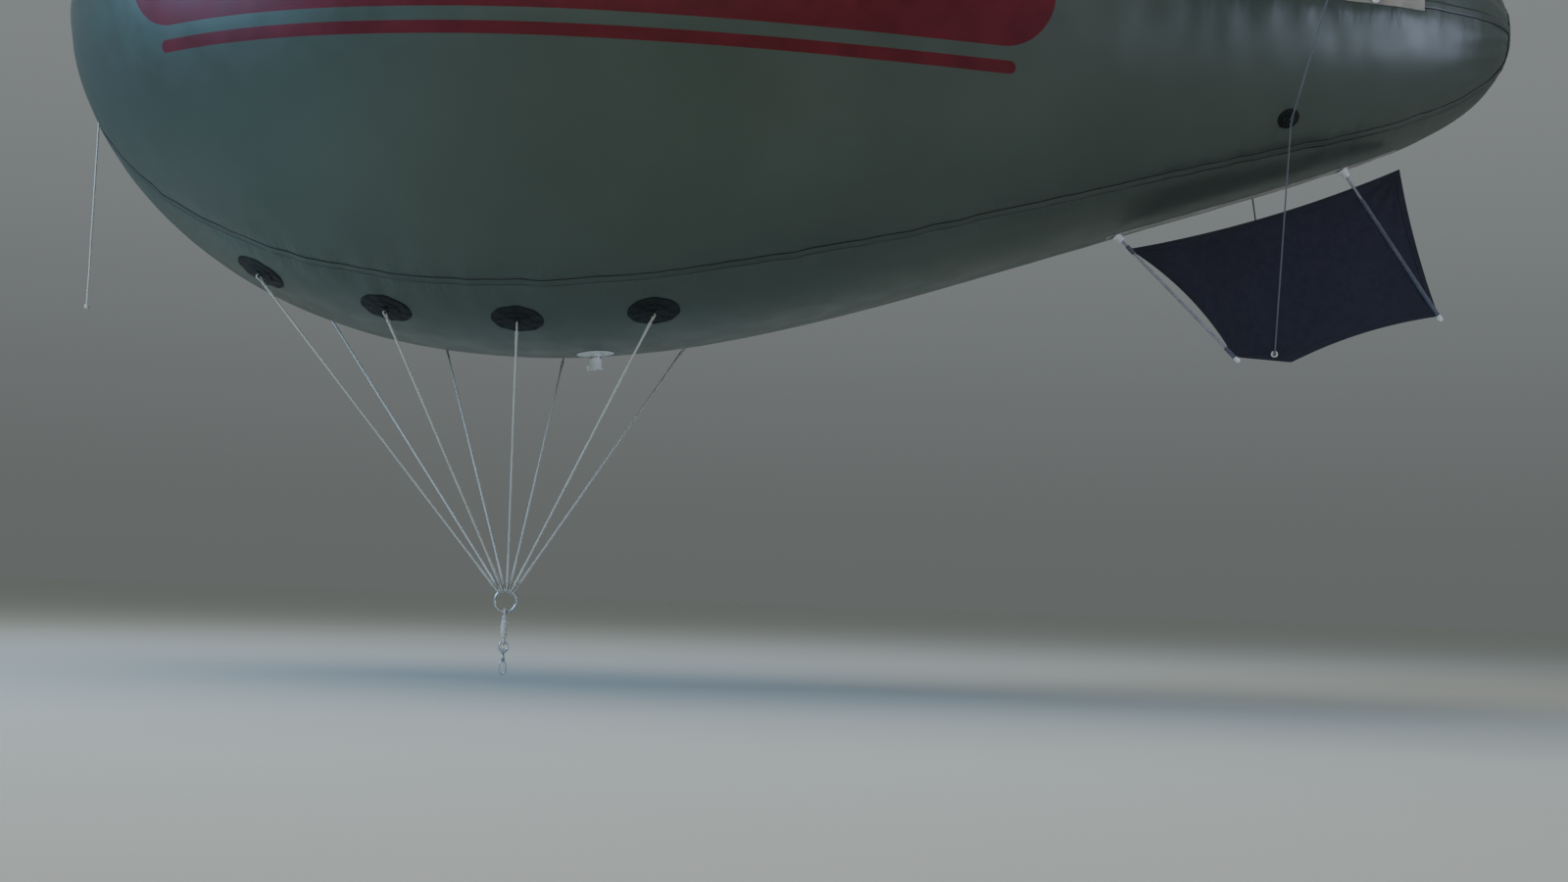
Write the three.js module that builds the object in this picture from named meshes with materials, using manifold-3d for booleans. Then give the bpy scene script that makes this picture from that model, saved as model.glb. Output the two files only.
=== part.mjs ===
// A helium blimp balloon flown on a tether to advertise at outdoor events.
// Millimetres. +X is toward the nose, +Y to port, +Z up, and the origin is the centre of the gas.
import * as THREE from 'three';
import { mergeVertices } from 'three/addons/utils/BufferGeometryUtils.js';
import Module from 'manifold-3d';

const wasm = await Module();
wasm.setup();
const { Manifold, Mesh } = wasm;

// Hull
const LENGTH = 6000;
const MAX_RADIUS = 1400;
const NOSE_X = 2480; // from the centre of the gas to the tip of the nose
const WALL = 10;
const HULL_CURVE = [6.01, -0.53, -16.11, 12.5]; // (r / R)^2 = s (1 - s) (a + b s + c s^2 + d s^3)
const STATIONS = 24;
const FACETS = 36;

const SEAT = 0.3; // gap between two pieces that lie on each other
const FINE = 0.05; // slivers thinner than this are smoothed away

// Load lines: one row of patches on each side of the belly, 20 degrees off its centre line
const LOAD_ANGLE = 20;
const LOAD_ROWS = [
  // x of the patch, place of its line on the gathering ring to port and to starboard, in degrees
  { x: 1514, port: 42, starboard: 30 },
  { x: 974, port: 18, starboard: 6 },
  { x: 438, port: -6, starboard: -18 },
  { x: -102, port: -30, starboard: -42 },
];
const LOAD_PATCH = { radius: 105, thick: 3 };
const LOOP = { ring: 12, wire: 3.5, lift: 9 };
const LINE = { radius: 4.5, eye: 3.2 };
const GATHER = { x: 542, z: -2437, ring: 46, wire: 5 };

// Tether gear below the gathering ring
const PENDANT = { radius: 15, length: 104, eye: 5 };
const BOW = { ring: 19, wire: 4.5, boss: 11, bossHeight: 14, bore: 4.5 };
const SPINDLE = { radius: 4, head: 7.5, headHeight: 4, eyeRing: 12, eyeWire: 3.5 };
const HOOK = { eye: 7.4, wire: 3.6, width: 26, height: 52, land: 1 };

// Tail fins, in the plane of one fin: x along the hull, r out from its axis
const FINS = [
  // turn about the hull's axis from the lower fin, in degrees
  { name: 'lower', turn: 0 },
  { name: 'starboard', turn: -90 },
  { name: 'upper', turn: 180 },
  { name: 'port', turn: 90 },
];
const FIN = {
  thick: 4,
  frontRoot: { x: -2003, r: 898 },
  frontTip: { x: -2437, r: 1336 },
  lowTip: { x: -2668, r: 1354 },
  rearTip: { x: -3255, r: 1150 },
  rearRoot: { x: -3094, r: 545 },
  rootSag: 34,
  frontSag: 38,
  tipSag: 26,
  rearSag: 14,
};
const POLE = { radius: 6, sleeve: 9.5, cap: 11 };
const FRONT_POLE = { foot: -1950, tip: { x: -2452, r: 1351 } };
const REAR_POLE = { foot: -2863, tip: { x: -3262, r: 1161 } };
const ROOT_STRAP = { from: -1905, to: -3075, width: 56, thick: 4 };
const SOCKET = { radius: 17, height: 34 };
const GUY_PATCH = { x: -2560, radius: 44, thick: 3 };
const GUY = { radius: 3, knot: 6.5, gap: 3.6, foot: { x: -2600, r: 1322 }, grommet: 15, boss: 3 };

// Belly valve and nose line
const VALVE = { x: 208, neck: 25, bore: 21, length: 62, flange: 78, flangeThick: 4 };
const LID = { radius: 27, thick: 6, plug: 18, plugDepth: 5 };
const LID_HINGE = { pivot: 34, barrel: 4, half: 4.5, pin: 1.5, bore: 1.9 };
const EAR = { inner: 5.5, outer: 9, from: 30, to: 38, low: 50, high: 70 };
const NOSE_PATCH = { x: 2408, radius: 62, thick: 3 };
const NOSE_LINE = { radius: 4, length: 850, knot: 11 };

const part = new THREE.Group();
part.name = 'advertising_blimp_balloon';
const rad = THREE.MathUtils.degToRad;
const vec = (x, y, z) => new THREE.Vector3(x, y, z);

// Materials
const HULL = { color: 0x5c655e, roughness: 0.38, metalness: 0.4 };
const NAVY = { color: 0x1d1e2c, roughness: 0.7, metalness: 0 };
const BLACK = { color: 0x121715, roughness: 0.62, metalness: 0 };
const CORD = { color: 0xbab5a5, roughness: 0.75, metalness: 0 };
const ROPE = { color: 0xbebaaf, roughness: 0.75, metalness: 0 };
const GUY_CORD = { color: 0x616365, roughness: 0.75, metalness: 0 };
const WHITE = { color: 0xe6e8e4, roughness: 0.6, metalness: 0 };
const STEEL = { color: 0xb4b8ba, roughness: 0.25, metalness: 1 };
const POLE_GREY = { color: 0x9c9aa0, roughness: 0.5, metalness: 0 };

// A closed manifold of a three.js geometry
function solid(geometry) {
  let g = geometry.index ? geometry.toNonIndexed() : geometry;
  g = new THREE.BufferGeometry().setAttribute('position', g.getAttribute('position').clone());
  g = mergeVertices(g, 1e-3);
  const index = g.index.array;
  const kept = [];
  for (let i = 0; i < index.length; i += 3) {
    const [a, b, c] = [index[i], index[i + 1], index[i + 2]];
    if (a !== b && b !== c && a !== c) kept.push(a, b, c);
  }
  const vertProperties = new Float32Array(g.getAttribute('position').array);
  return new Manifold(new Mesh({ numProp: 3, vertProperties, triVerts: new Uint32Array(kept) }));
}

function add(name, body, look) {
  const mesh = body.asOriginal().simplify(FINE).getMesh();
  const g = new THREE.BufferGeometry();
  g.setAttribute('position', new THREE.Float32BufferAttribute(mesh.vertProperties, 3));
  g.setIndex([...mesh.triVerts]);
  g.computeVertexNormals();
  const node = new THREE.Mesh(g, new THREE.MeshStandardMaterial(look));
  node.name = name;
  part.add(node);
}

// Turns a geometry's Y axis onto a direction and moves it to a place
function place(geometry, at, axis) {
  const turn = new THREE.Quaternion().setFromUnitVectors(vec(0, 1, 0), axis.clone().normalize());
  return geometry.applyQuaternion(turn).translate(at.x, at.y, at.z);
}

function cylinder(from, to, radius, sides = 12) {
  const along = to.clone().sub(from);
  const middle = from.clone().add(to).multiplyScalar(0.5);
  return solid(place(new THREE.CylinderGeometry(radius, radius, along.length(), sides), middle, along));
}

function ball(at, radius, sides = 8) {
  return solid(new THREE.SphereGeometry(radius, sides, sides / 2).translate(at.x, at.y, at.z));
}

// A ring of round wire whose axis points along axis
function wireRing(at, axis, ring, wire, round = 14, sides = 6) {
  const g = new THREE.TorusGeometry(ring, wire, sides, round).rotateX(-Math.PI / 2);
  return solid(place(g, at, axis));
}

function box(low, high) {
  const size = high.clone().sub(low);
  const middle = high.clone().add(low).multiplyScalar(0.5);
  const g = new THREE.BoxGeometry(size.x, size.y, size.z);
  return solid(g.translate(middle.x, middle.y, middle.z));
}

// A round bar along a curve, closed at both ends
function bar(curve, radius, steps, sides = 8) {
  const g = new THREE.TubeGeometry(curve, steps, radius, sides, false);
  const points = [...g.getAttribute('position').array];
  const index = [...g.index.array];
  const ends = [curve.getPoint(0), curve.getPoint(1)];
  ends.forEach((end, k) => {
    const centre = points.length / 3;
    points.push(end.x, end.y, end.z);
    const first = k === 0 ? 0 : steps * (sides + 1);
    for (let j = 0; j < sides; j += 1) {
      const pair = k === 0 ? [first + j, first + j + 1] : [first + j + 1, first + j];
      index.push(centre, ...pair);
    }
  });
  const capped = new THREE.BufferGeometry();
  capped.setAttribute('position', new THREE.Float32BufferAttribute(points, 3));
  capped.setIndex(index);
  return solid(capped);
}

// The hull's radius at x, and a point and the outward normal on it. The angle is 0 to port and -90 below.
function hullRadius(x) {
  const s = THREE.MathUtils.clamp((NOSE_X - x) / LENGTH, 0, 1);
  const curve = HULL_CURVE.reduce((sum, c, k) => sum + c * s ** k, 0);
  return MAX_RADIUS * Math.sqrt(Math.max(s * (1 - s) * curve, 0));
}

function hullPoint(x, angle, out = 0) {
  const r = hullRadius(x);
  const p = vec(x, r * Math.cos(rad(angle)), r * Math.sin(rad(angle)));
  return p.addScaledVector(hullNormal(x, angle), out);
}

function hullNormal(x, angle) {
  const slope = (hullRadius(x + 1) - hullRadius(x - 1)) / 2;
  return vec(-slope, Math.cos(rad(angle)), Math.sin(rad(angle))).normalize();
}

// The hull's solid grown outward by a distance, or shrunk by a negative one
function hullBody(grow) {
  const points = [];
  for (let i = 0; i <= STATIONS; i += 1) {
    const u = i / STATIONS;
    const x = NOSE_X - (LENGTH * (1 - Math.cos(Math.PI * u))) / 2;
    if (i === 0) points.push(new THREE.Vector2(0, NOSE_X + grow));
    else if (i === STATIONS) points.push(new THREE.Vector2(0, NOSE_X - LENGTH - grow));
    else {
      const n = hullNormal(x, 0);
      points.push(new THREE.Vector2(hullRadius(x) + n.y * grow, x + n.x * grow));
    }
  }
  const g = new THREE.LatheGeometry(points.reverse(), FACETS);
  return solid(g.rotateZ(-Math.PI / 2));
}

// A sheet that follows the hull, cut to the shape of a solid
function onHull(cutter, thick) {
  return hullBody(SEAT + thick).subtract(hullBody(SEAT)).intersect(cutter);
}

function hullPatch(x, angle, radius, thick) {
  const cutter = cylinder(hullPoint(x, angle, -60), hullPoint(x, angle, 60), radius, 20);
  return onHull(cutter, thick);
}

// A loop of cord sewn on a patch. Its wire runs along the tangent where the line leaves it.
function patchLoop(x, angle, thick, tangent) {
  const n = hullNormal(x, angle);
  const axis = tangent.clone().cross(n).normalize();
  const centre = hullPoint(x, angle, SEAT + thick + LOOP.lift);
  const ring = wireRing(centre, axis, LOOP.ring, LOOP.wire).subtract(hullBody(SEAT));
  return { ring, top: centre.addScaledVector(n, LOOP.ring) };
}

function acrossLine(x, angle, toward) {
  return hullNormal(x, angle).cross(toward.clone().sub(hullPoint(x, angle))).normalize();
}

// Envelope
const seatOf = (out) => hullPoint(VALVE.x, -90, out);
const gasWay = cylinder(seatOf(-60), seatOf(VALVE.length + 5), VALVE.bore, 24);
add('envelope', hullBody(0).subtract(hullBody(-WALL)).subtract(gasWay), HULL);

// Inflation valve on the belly: a flange round a neck, and a lid that swings on a pin between two ears
const valveNormal = hullNormal(VALVE.x, -90);
const valveTilt = THREE.MathUtils.radToDeg(Math.atan2(valveNormal.x, -valveNormal.z));
// From the valve's own frame, whose +Z points out of the neck, to the hull
const onValve = (body) => {
  const at = seatOf(0);
  return body.rotate([180, 0, 0]).rotate([0, -valveTilt, 0]).translate([at.x, at.y, at.z]);
};
const round = (low, high, radius, sides = 24) => cylinder(vec(0, 0, low), vec(0, 0, high), radius, sides);
const ears = [-1, 1].map((side) => {
  const [y0, y1] = [side * EAR.inner, side * EAR.outer].sort((a, b) => a - b);
  return box(vec(VALVE.neck - 2, y0, EAR.low), vec(EAR.to, y1, VALVE.length - 1))
    .add(box(vec(EAR.from, y0, EAR.low), vec(EAR.to, y1, EAR.high)));
});
const pivotAt = VALVE.length + SEAT + LID.thick / 2;
const hingeRod = (radius, half) => {
  const end = (y) => vec(LID_HINGE.pivot, y, pivotAt);
  return cylinder(end(-half), end(half), radius);
};
const neck = round(-20, VALVE.length, VALVE.neck)
  .add(ears[0])
  .add(ears[1])
  .add(hingeRod(LID_HINGE.pin, EAR.outer));
const flange = hullPatch(VALVE.x, -90, VALVE.flange, VALVE.flangeThick);
add('inflation_flange', flange.subtract(onValve(round(-20, 40, VALVE.neck + SEAT))), WHITE);
add('inflation_neck', onValve(neck).subtract(hullBody(SEAT)).subtract(gasWay), WHITE);
const lidFoot = VALVE.length + SEAT;
const lid = round(lidFoot, lidFoot + LID.thick, LID.radius)
  .add(round(lidFoot - LID.plugDepth, lidFoot + 1, LID.plug))
  .add(box(vec(20, -LID_HINGE.half, lidFoot), vec(LID_HINGE.pivot, LID_HINGE.half, lidFoot + LID.thick)))
  .add(hingeRod(LID_HINGE.barrel, LID_HINGE.half))
  .subtract(hingeRod(LID_HINGE.bore, LID_HINGE.half + 1));
add('inflation_lid', onValve(lid), WHITE);

// Load patches and lines
function gatherPoint(angle) {
  const a = rad(angle);
  return vec(GATHER.x + GATHER.ring * Math.sin(a), 0, GATHER.z + GATHER.ring * Math.cos(a));
}

LOAD_ROWS.forEach((row, i) => {
  const sides = [
    { side: 'port', angle: -90 + LOAD_ANGLE, end: row.port },
    { side: 'starboard', angle: -90 - LOAD_ANGLE, end: row.starboard },
  ];
  for (const { side, angle, end } of sides) {
    const low = gatherPoint(end);
    const tangent = acrossLine(row.x, angle, low);
    const { ring, top } = patchLoop(row.x, angle, LOAD_PATCH.thick, tangent);
    const patch = hullPatch(row.x, angle, LOAD_PATCH.radius, LOAD_PATCH.thick);
    add(`load_patch_${i + 1}_${side}`, patch.add(ring), BLACK);

    const way = low.clone().sub(top).normalize();
    const topEye = LOOP.wire + SEAT + LINE.eye;
    const lowEye = GATHER.wire + SEAT + LINE.eye;
    const along = vec(Math.cos(rad(end)), 0, -Math.sin(rad(end)));
    const cord = cylinder(
      top.clone().addScaledVector(way, topEye),
      low.clone().addScaledVector(way, -lowEye),
      LINE.radius,
      8,
    );
    const eyes = wireRing(top, tangent, topEye, LINE.eye, 10, 5)
      .add(wireRing(low, along, lowEye, LINE.eye, 10, 5));
    add(`suspension_line_${i + 1}_${side}`, cord.add(eyes), CORD);
  }
});

// Gathering ring
const gatherCentre = vec(GATHER.x, 0, GATHER.z);
add('gathering_ring', wireRing(gatherCentre, vec(0, 1, 0), GATHER.ring, GATHER.wire, 28, 8), STEEL);

// Tether pendant
const below = (z) => vec(GATHER.x, 0, z);
const ringFoot = GATHER.z - GATHER.ring;
const upperEye = GATHER.wire + SEAT + PENDANT.eye;
const bowEye = BOW.wire + SEAT + PENDANT.eye;
const bowTop = ringFoot - upperEye - PENDANT.length - bowEye;
const pendant = cylinder(
  below(ringFoot - upperEye - PENDANT.eye - 2),
  below(bowTop + bowEye + PENDANT.eye + 2),
  PENDANT.radius,
)
  .add(cylinder(below(ringFoot - upperEye), below(bowTop + bowEye), PENDANT.eye * 1.6))
  .add(wireRing(below(ringFoot), vec(1, 0, 0), upperEye, PENDANT.eye, 14, 8))
  .add(wireRing(below(bowTop), vec(1, 0, 0), bowEye, PENDANT.eye, 14, 8));
add('tether_pendant', pendant, ROPE);

// Swivel: a bow with a bored boss, and a headed spindle that turns in it
const bowCentre = bowTop - BOW.ring;
const bossMiddle = bowCentre - BOW.ring;
const bossTop = bossMiddle + BOW.bossHeight / 2;
const bossFoot = bossMiddle - BOW.bossHeight / 2;
const bow = wireRing(below(bowCentre), vec(0, 1, 0), BOW.ring, BOW.wire, 20, 8)
  .add(cylinder(below(bossTop), below(bossFoot), BOW.boss))
  .subtract(cylinder(below(bossTop + 20), below(bossFoot - 20), BOW.bore));
const headRoom = cylinder(below(bossTop + 9), below(bossTop), SPINDLE.head + 1);
add('swivel_bow', bow.subtract(headRoom), STEEL);

const collarFoot = bossFoot - SEAT - 3;
const eyeCentre = collarFoot - 3 - SPINDLE.eyeRing;
const spindle = cylinder(below(bossTop + SEAT + SPINDLE.headHeight), below(bossTop + SEAT), SPINDLE.head)
  .add(cylinder(below(bossTop + 1), below(collarFoot - 3), SPINDLE.radius))
  .add(cylinder(below(bossFoot - SEAT), below(collarFoot), SPINDLE.head))
  .add(wireRing(below(eyeCentre), vec(1, 0, 0), SPINDLE.eyeRing, SPINDLE.eyeWire, 16, 8));
add('swivel_spindle', spindle, STEEL);

// Snap hook with its gate, hung on the spindle's eye
const hookPivot = eyeCentre - SPINDLE.eyeRing;
const hookTop = hookPivot - HOOK.eye;
const hookMiddle = hookTop - HOOK.height / 2;
const half = HOOK.width / 2;
const hookPath = new THREE.CatmullRomCurve3([
  below(hookTop),
  vec(GATHER.x - half, 0, hookTop - 10),
  vec(GATHER.x - half, 0, hookMiddle),
  vec(GATHER.x - half + 3, 0, hookTop - HOOK.height + 9),
  below(hookTop - HOOK.height),
  vec(GATHER.x + half - 3, 0, hookTop - HOOK.height + 9),
  vec(GATHER.x + half, 0, hookMiddle - 8),
]);
const shoulderPath = new THREE.CatmullRomCurve3([
  below(hookTop),
  vec(GATHER.x + 8, 0, hookTop - 4),
  vec(GATHER.x + half, 0, hookTop - 9),
]);
const shoulder = bar(shoulderPath, HOOK.wire, 6);
const landTop = hookTop - HOOK.height + HOOK.wire - HOOK.land;
const landCut = box(vec(GATHER.x - 7, -6, landTop), vec(GATHER.x + 7, 6, landTop + 6));
const hook = bar(hookPath, HOOK.wire, 20)
  .add(shoulder)
  .add(ball(vec(GATHER.x + half, 0, hookTop - 9), HOOK.wire))
  .add(ball(vec(GATHER.x + half, 0, hookMiddle - 8), HOOK.wire))
  .add(wireRing(below(hookPivot), vec(0, 1, 0), HOOK.eye, 3, 14, 8))
  .subtract(landCut);
add('snap_hook', hook, STEEL);
const gateTop = vec(GATHER.x + half, 0, hookTop - 9 - HOOK.wire - SEAT);
const gateFoot = vec(GATHER.x + half, 0, hookMiddle - 8 + HOOK.wire + SEAT);
add('hook_gate', cylinder(gateTop, gateFoot, 3, 12), STEEL);

// Tail fins
const finPoint = (p) => vec(p.x, 0, -p.r);

// Points of an edge that is drawn in toward the middle of the fin
function sagged(from, to, sag) {
  const middle = { x: (from.x + to.x) / 2, r: (from.r + to.r) / 2 };
  const [dx, dr] = [to.x - from.x, to.r - from.r];
  const long = Math.hypot(dx, dr);
  const inward = { x: -dr / long, r: dx / long };
  const steps = [0, 1, 2, 3, 4, 5];
  return steps.map((k) => {
    const t = k / 6;
    const in_ = 4 * sag * t * (1 - t);
    return new THREE.Vector2(
      THREE.MathUtils.lerp(from.x, to.x, t) + inward.x * in_,
      -THREE.MathUtils.lerp(from.r, to.r, t) - inward.r * in_,
    );
  });
}

function finSolids() {
  const outline = [
    ...sagged(FIN.frontRoot, FIN.frontTip, FIN.frontSag),
    ...sagged(FIN.frontTip, FIN.lowTip, 0),
    ...sagged(FIN.lowTip, FIN.rearTip, FIN.tipSag),
    ...sagged(FIN.rearTip, FIN.rearRoot, FIN.rearSag),
    ...sagged(FIN.rearRoot, FIN.frontRoot, FIN.rootSag),
  ];
  const sheet = new THREE.ExtrudeGeometry(new THREE.Shape(outline), {
    depth: FIN.thick,
    bevelEnabled: false,
  });
  sheet.translate(0, 0, -FIN.thick / 2).rotateX(Math.PI / 2);
  const frontFoot = hullPoint(FRONT_POLE.foot, -90);
  const frontTip = finPoint(FRONT_POLE.tip);
  const rearFoot = hullPoint(REAR_POLE.foot, -90);
  const rearTip = finPoint(REAR_POLE.tip);
  const on = (from, to, t) => from.clone().lerp(to, t);

  const sleeves = cylinder(on(rearFoot, rearTip, 0.2), on(rearFoot, rearTip, 0.975), POLE.sleeve)
    .add(cylinder(on(frontFoot, frontTip, 0.9), on(frontFoot, frontTip, 0.975), POLE.sleeve))
    .add(cylinder(on(frontFoot, frontTip, 0.09), on(frontFoot, frontTip, 0.15), POLE.sleeve));
  const reach = (tip, foot, r) => cylinder(tip.clone().lerp(foot, -0.05), foot, r);
  const poleRoom = reach(frontTip, frontFoot, POLE.radius + SEAT)
    .add(reach(rearTip, rearFoot, POLE.radius + SEAT));
  const foot = finPoint(GUY.foot);
  const side = vec(0, GUY.boss, 0);
  const grommet = cylinder(foot.clone().sub(side), foot.clone().add(side), GUY.grommet, 20);
  const membrane = solid(sheet).add(sleeves).add(grommet).subtract(poleRoom);

  const strapCut = box(
    vec(ROOT_STRAP.to, -ROOT_STRAP.width / 2, -1400),
    vec(ROOT_STRAP.from, ROOT_STRAP.width / 2, -200),
  );
  const poles = cylinder(frontFoot, frontTip, POLE.radius, 12)
    .add(cylinder(rearFoot, rearTip, POLE.radius, 12))
    .add(ball(frontTip, POLE.cap))
    .add(ball(rearTip, POLE.cap));
  const sockets = cylinder(frontFoot, on(frontFoot, frontTip, SOCKET.height / 700), SOCKET.radius)
    .add(cylinder(rearFoot, on(rearFoot, rearTip, SOCKET.height / 700), SOCKET.radius));
  const frame = onHull(strapCut, ROOT_STRAP.thick)
    .add(poles.add(sockets).subtract(hullBody(SEAT)));
  return { membrane, frame };
}

const fin = finSolids();
for (const { name, turn } of FINS) {
  add(`fin_${name}_frame`, fin.frame.rotate([turn, 0, 0]), POLE_GREY);
  add(`fin_${name}_membrane`, fin.membrane.rotate([turn, 0, 0]), NAVY);
}

// Guys: from a patch between two fins to a grommet in each
const GUY_PLACES = [
  // name, angle of the patch, the fins it holds by their own angle
  { name: 'lower_port', angle: -45, fins: [-90, 0] },
  { name: 'upper_port', angle: 45, fins: [0, 90] },
  { name: 'upper_starboard', angle: 135, fins: [90, 180] },
  { name: 'lower_starboard', angle: 225, fins: [180, 270] },
];
for (const { name, angle, fins } of GUY_PLACES) {
  const tangent = vec(1, 0, 0);
  const n = hullNormal(GUY_PATCH.x, angle);
  const along = tangent.addScaledVector(n, -n.x).normalize();
  const { ring, top } = patchLoop(GUY_PATCH.x, angle, GUY_PATCH.thick, along);
  const patch = hullPatch(GUY_PATCH.x, angle, GUY_PATCH.radius, GUY_PATCH.thick);
  add(`guy_patch_${name}`, patch.add(ring), BLACK);

  const eye = LOOP.wire + SEAT + GUY.radius;
  let guys = wireRing(top, along, eye, GUY.radius, 10, 5);
  for (const finAngle of fins) {
    const toPatch = Math.sign(angle - finAngle);
    const a = rad(finAngle);
    const radial = vec(0, Math.cos(a), Math.sin(a));
    const aside = vec(0, -Math.sin(a), Math.cos(a)).multiplyScalar(toPatch);
    const end = vec(GUY.foot.x, 0, 0)
      .addScaledVector(radial, GUY.foot.r)
      .addScaledVector(aside, GUY.gap + GUY.knot);
    const way = end.clone().sub(top).normalize();
    const start = top.clone().addScaledVector(way, eye);
    guys = guys.add(cylinder(start, end, GUY.radius, 8)).add(ball(end, GUY.knot));
  }
  add(`fin_guys_${name}`, guys, GUY_CORD);
}

// Nose patch with the handling line that hangs from it
const noseLoop = patchLoop(NOSE_PATCH.x, -90, NOSE_PATCH.thick, vec(0, 1, 0));
const nosePatch = hullPatch(NOSE_PATCH.x, -90, NOSE_PATCH.radius, NOSE_PATCH.thick);
add('nose_patch', nosePatch.add(noseLoop.ring), BLACK);
const noseEye = LOOP.wire + SEAT + 3;
const lineTop = noseLoop.top.clone().add(vec(0, 0, -noseEye));
const lineFoot = lineTop.clone().add(vec(0, 0, -NOSE_LINE.length));
const noseLine = cylinder(lineTop, lineFoot, NOSE_LINE.radius, 10)
  .add(wireRing(noseLoop.top, vec(0, 1, 0), noseEye, 3, 10, 5))
  .add(ball(lineFoot, NOSE_LINE.knot));
add('nose_line', noseLine, CORD);

export default part;
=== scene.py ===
from itertools import product
from math import atan2, cos, exp, floor, hypot, pi, radians, sin, sqrt, tau

import bpy
from mathutils import Matrix, Vector, noise


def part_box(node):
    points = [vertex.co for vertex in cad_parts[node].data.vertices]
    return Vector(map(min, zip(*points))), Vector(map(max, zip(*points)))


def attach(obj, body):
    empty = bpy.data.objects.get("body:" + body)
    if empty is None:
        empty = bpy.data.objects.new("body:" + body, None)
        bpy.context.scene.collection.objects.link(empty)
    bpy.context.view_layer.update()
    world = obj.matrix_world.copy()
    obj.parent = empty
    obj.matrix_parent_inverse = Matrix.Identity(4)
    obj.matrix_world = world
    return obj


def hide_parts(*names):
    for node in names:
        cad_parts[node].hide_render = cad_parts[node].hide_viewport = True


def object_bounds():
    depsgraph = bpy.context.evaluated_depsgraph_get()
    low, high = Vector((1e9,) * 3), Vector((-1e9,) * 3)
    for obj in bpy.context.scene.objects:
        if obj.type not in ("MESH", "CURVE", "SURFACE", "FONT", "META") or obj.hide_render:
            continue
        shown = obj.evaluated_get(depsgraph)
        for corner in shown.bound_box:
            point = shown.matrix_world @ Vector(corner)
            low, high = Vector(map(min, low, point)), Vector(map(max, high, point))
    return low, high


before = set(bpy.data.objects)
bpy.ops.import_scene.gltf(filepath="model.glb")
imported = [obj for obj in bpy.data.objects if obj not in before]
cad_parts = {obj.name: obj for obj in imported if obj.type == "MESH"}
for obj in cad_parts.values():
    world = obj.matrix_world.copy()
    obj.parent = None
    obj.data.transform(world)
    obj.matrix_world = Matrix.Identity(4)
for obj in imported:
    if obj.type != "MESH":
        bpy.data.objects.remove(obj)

cad_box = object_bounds()


# Studio: a plain pale floor just under the snap hook, large soft lights, and a grey backdrop all round
# that meets the floor in its own tone. The camera is down at the floor on the port side and looks up.
FLOOR_GAP = 0.04
FLOOR_SIZE = 160
CAMERA_AT = (-1.222, 7.770, -2.375)
CAMERA_TURN = (94.70, -1.98, -175.59)
LENS = 43.18
FARTHEST_SEEN = 300
BACKDROP_RISE = 0.32

camera = bpy.data.objects.new("camera", bpy.data.cameras.new("camera"))
bpy.context.scene.collection.objects.link(camera)
bpy.context.scene.camera = camera
camera.location = CAMERA_AT
camera.rotation_euler = [radians(a) for a in CAMERA_TURN]
camera.data.lens = LENS
camera.data.clip_end = FARTHEST_SEEN


def new_piece(operator, name, **settings):
    """A piece started from one of Blender's basic shapes, with nothing else selected."""
    bpy.ops.object.select_all(action="DESELECT")
    operator(**settings)
    bpy.context.object.name = name
    return bpy.context.object


def feed(tree, made, inputs):
    """Sets a node's inputs to values, or links them to other nodes' outputs."""
    for name, value in inputs.items():
        if isinstance(value, bpy.types.NodeSocket):
            tree.links.new(value, made.inputs[name])
        else:
            made.inputs[name].default_value = value


def node(tree, kind, inputs=None, **settings):
    made = tree.nodes.new("ShaderNode" + kind)
    for name, value in settings.items():
        setattr(made, name, value)
    feed(tree, made, inputs or {})
    return made


def between(tree, value, low, high, to_low=0.0, to_high=1.0):
    """The value taken smoothly from one range to another."""
    ends = {"Value": value, "From Min": low, "From Max": high, "To Min": to_low, "To Max": to_high}
    return node(tree, "MapRange", ends, interpolation_type="SMOOTHSTEP").outputs["Result"]


def blend_of(tree, share, first, second):
    """A colour between two. A Mix node takes colours at its sockets 6 and 7 and gives one at socket 2."""
    colours = [c if isinstance(c, bpy.types.NodeSocket) else (*c, 1) for c in (first, second)]
    return node(tree, "Mix", {0: share, 6: colours[0], 7: colours[1]}, data_type="RGBA").outputs[2]


def parts_of(tree, place):
    return node(tree, "SeparateXYZ", {0: place}).outputs


def grain_of(tree, place, scale, detail):
    return node(tree, "TexNoise", {"Vector": place, "Scale": scale, "Detail": detail}).outputs["Fac"]


def finish_of(name, **same_all_over):
    """A new material, with its node tree, its Principled BSDF and the coordinates on its piece."""
    material = bpy.data.materials.new(name)
    material.use_nodes = True
    tree = material.node_tree
    surface = tree.nodes["Principled BSDF"]
    feed(tree, surface, same_all_over)
    return material, tree, surface, node(tree, "TexCoord").outputs


ground_place = (0, 0, cad_box[0].z - FLOOR_GAP)
ground = new_piece(bpy.ops.mesh.primitive_plane_add, "floor", size=FLOOR_SIZE, location=ground_place)
floor_paint, tree, surface, here = finish_of("pale_floor", Roughness=0.7)
wear = grain_of(tree, here["Object"], 0.8, 5.0)
feed(tree, surface, {"Base Color": blend_of(tree, wear, (0.50, 0.51, 0.455), (0.54, 0.55, 0.495))})
ground.data.materials.append(floor_paint)

world = bpy.data.worlds.new("sky")
bpy.context.scene.world = world
world.use_nodes = True
tree = world.node_tree
height = parts_of(tree, node(tree, "TexCoord").outputs["Generated"])["Z"]
rise = between(tree, height, 0.0, BACKDROP_RISE)
backdrop = blend_of(tree, rise, (0.130, 0.140, 0.137), (0.225, 0.243, 0.248))
feed(tree, tree.nodes["Background"], {"Color": backdrop})

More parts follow.
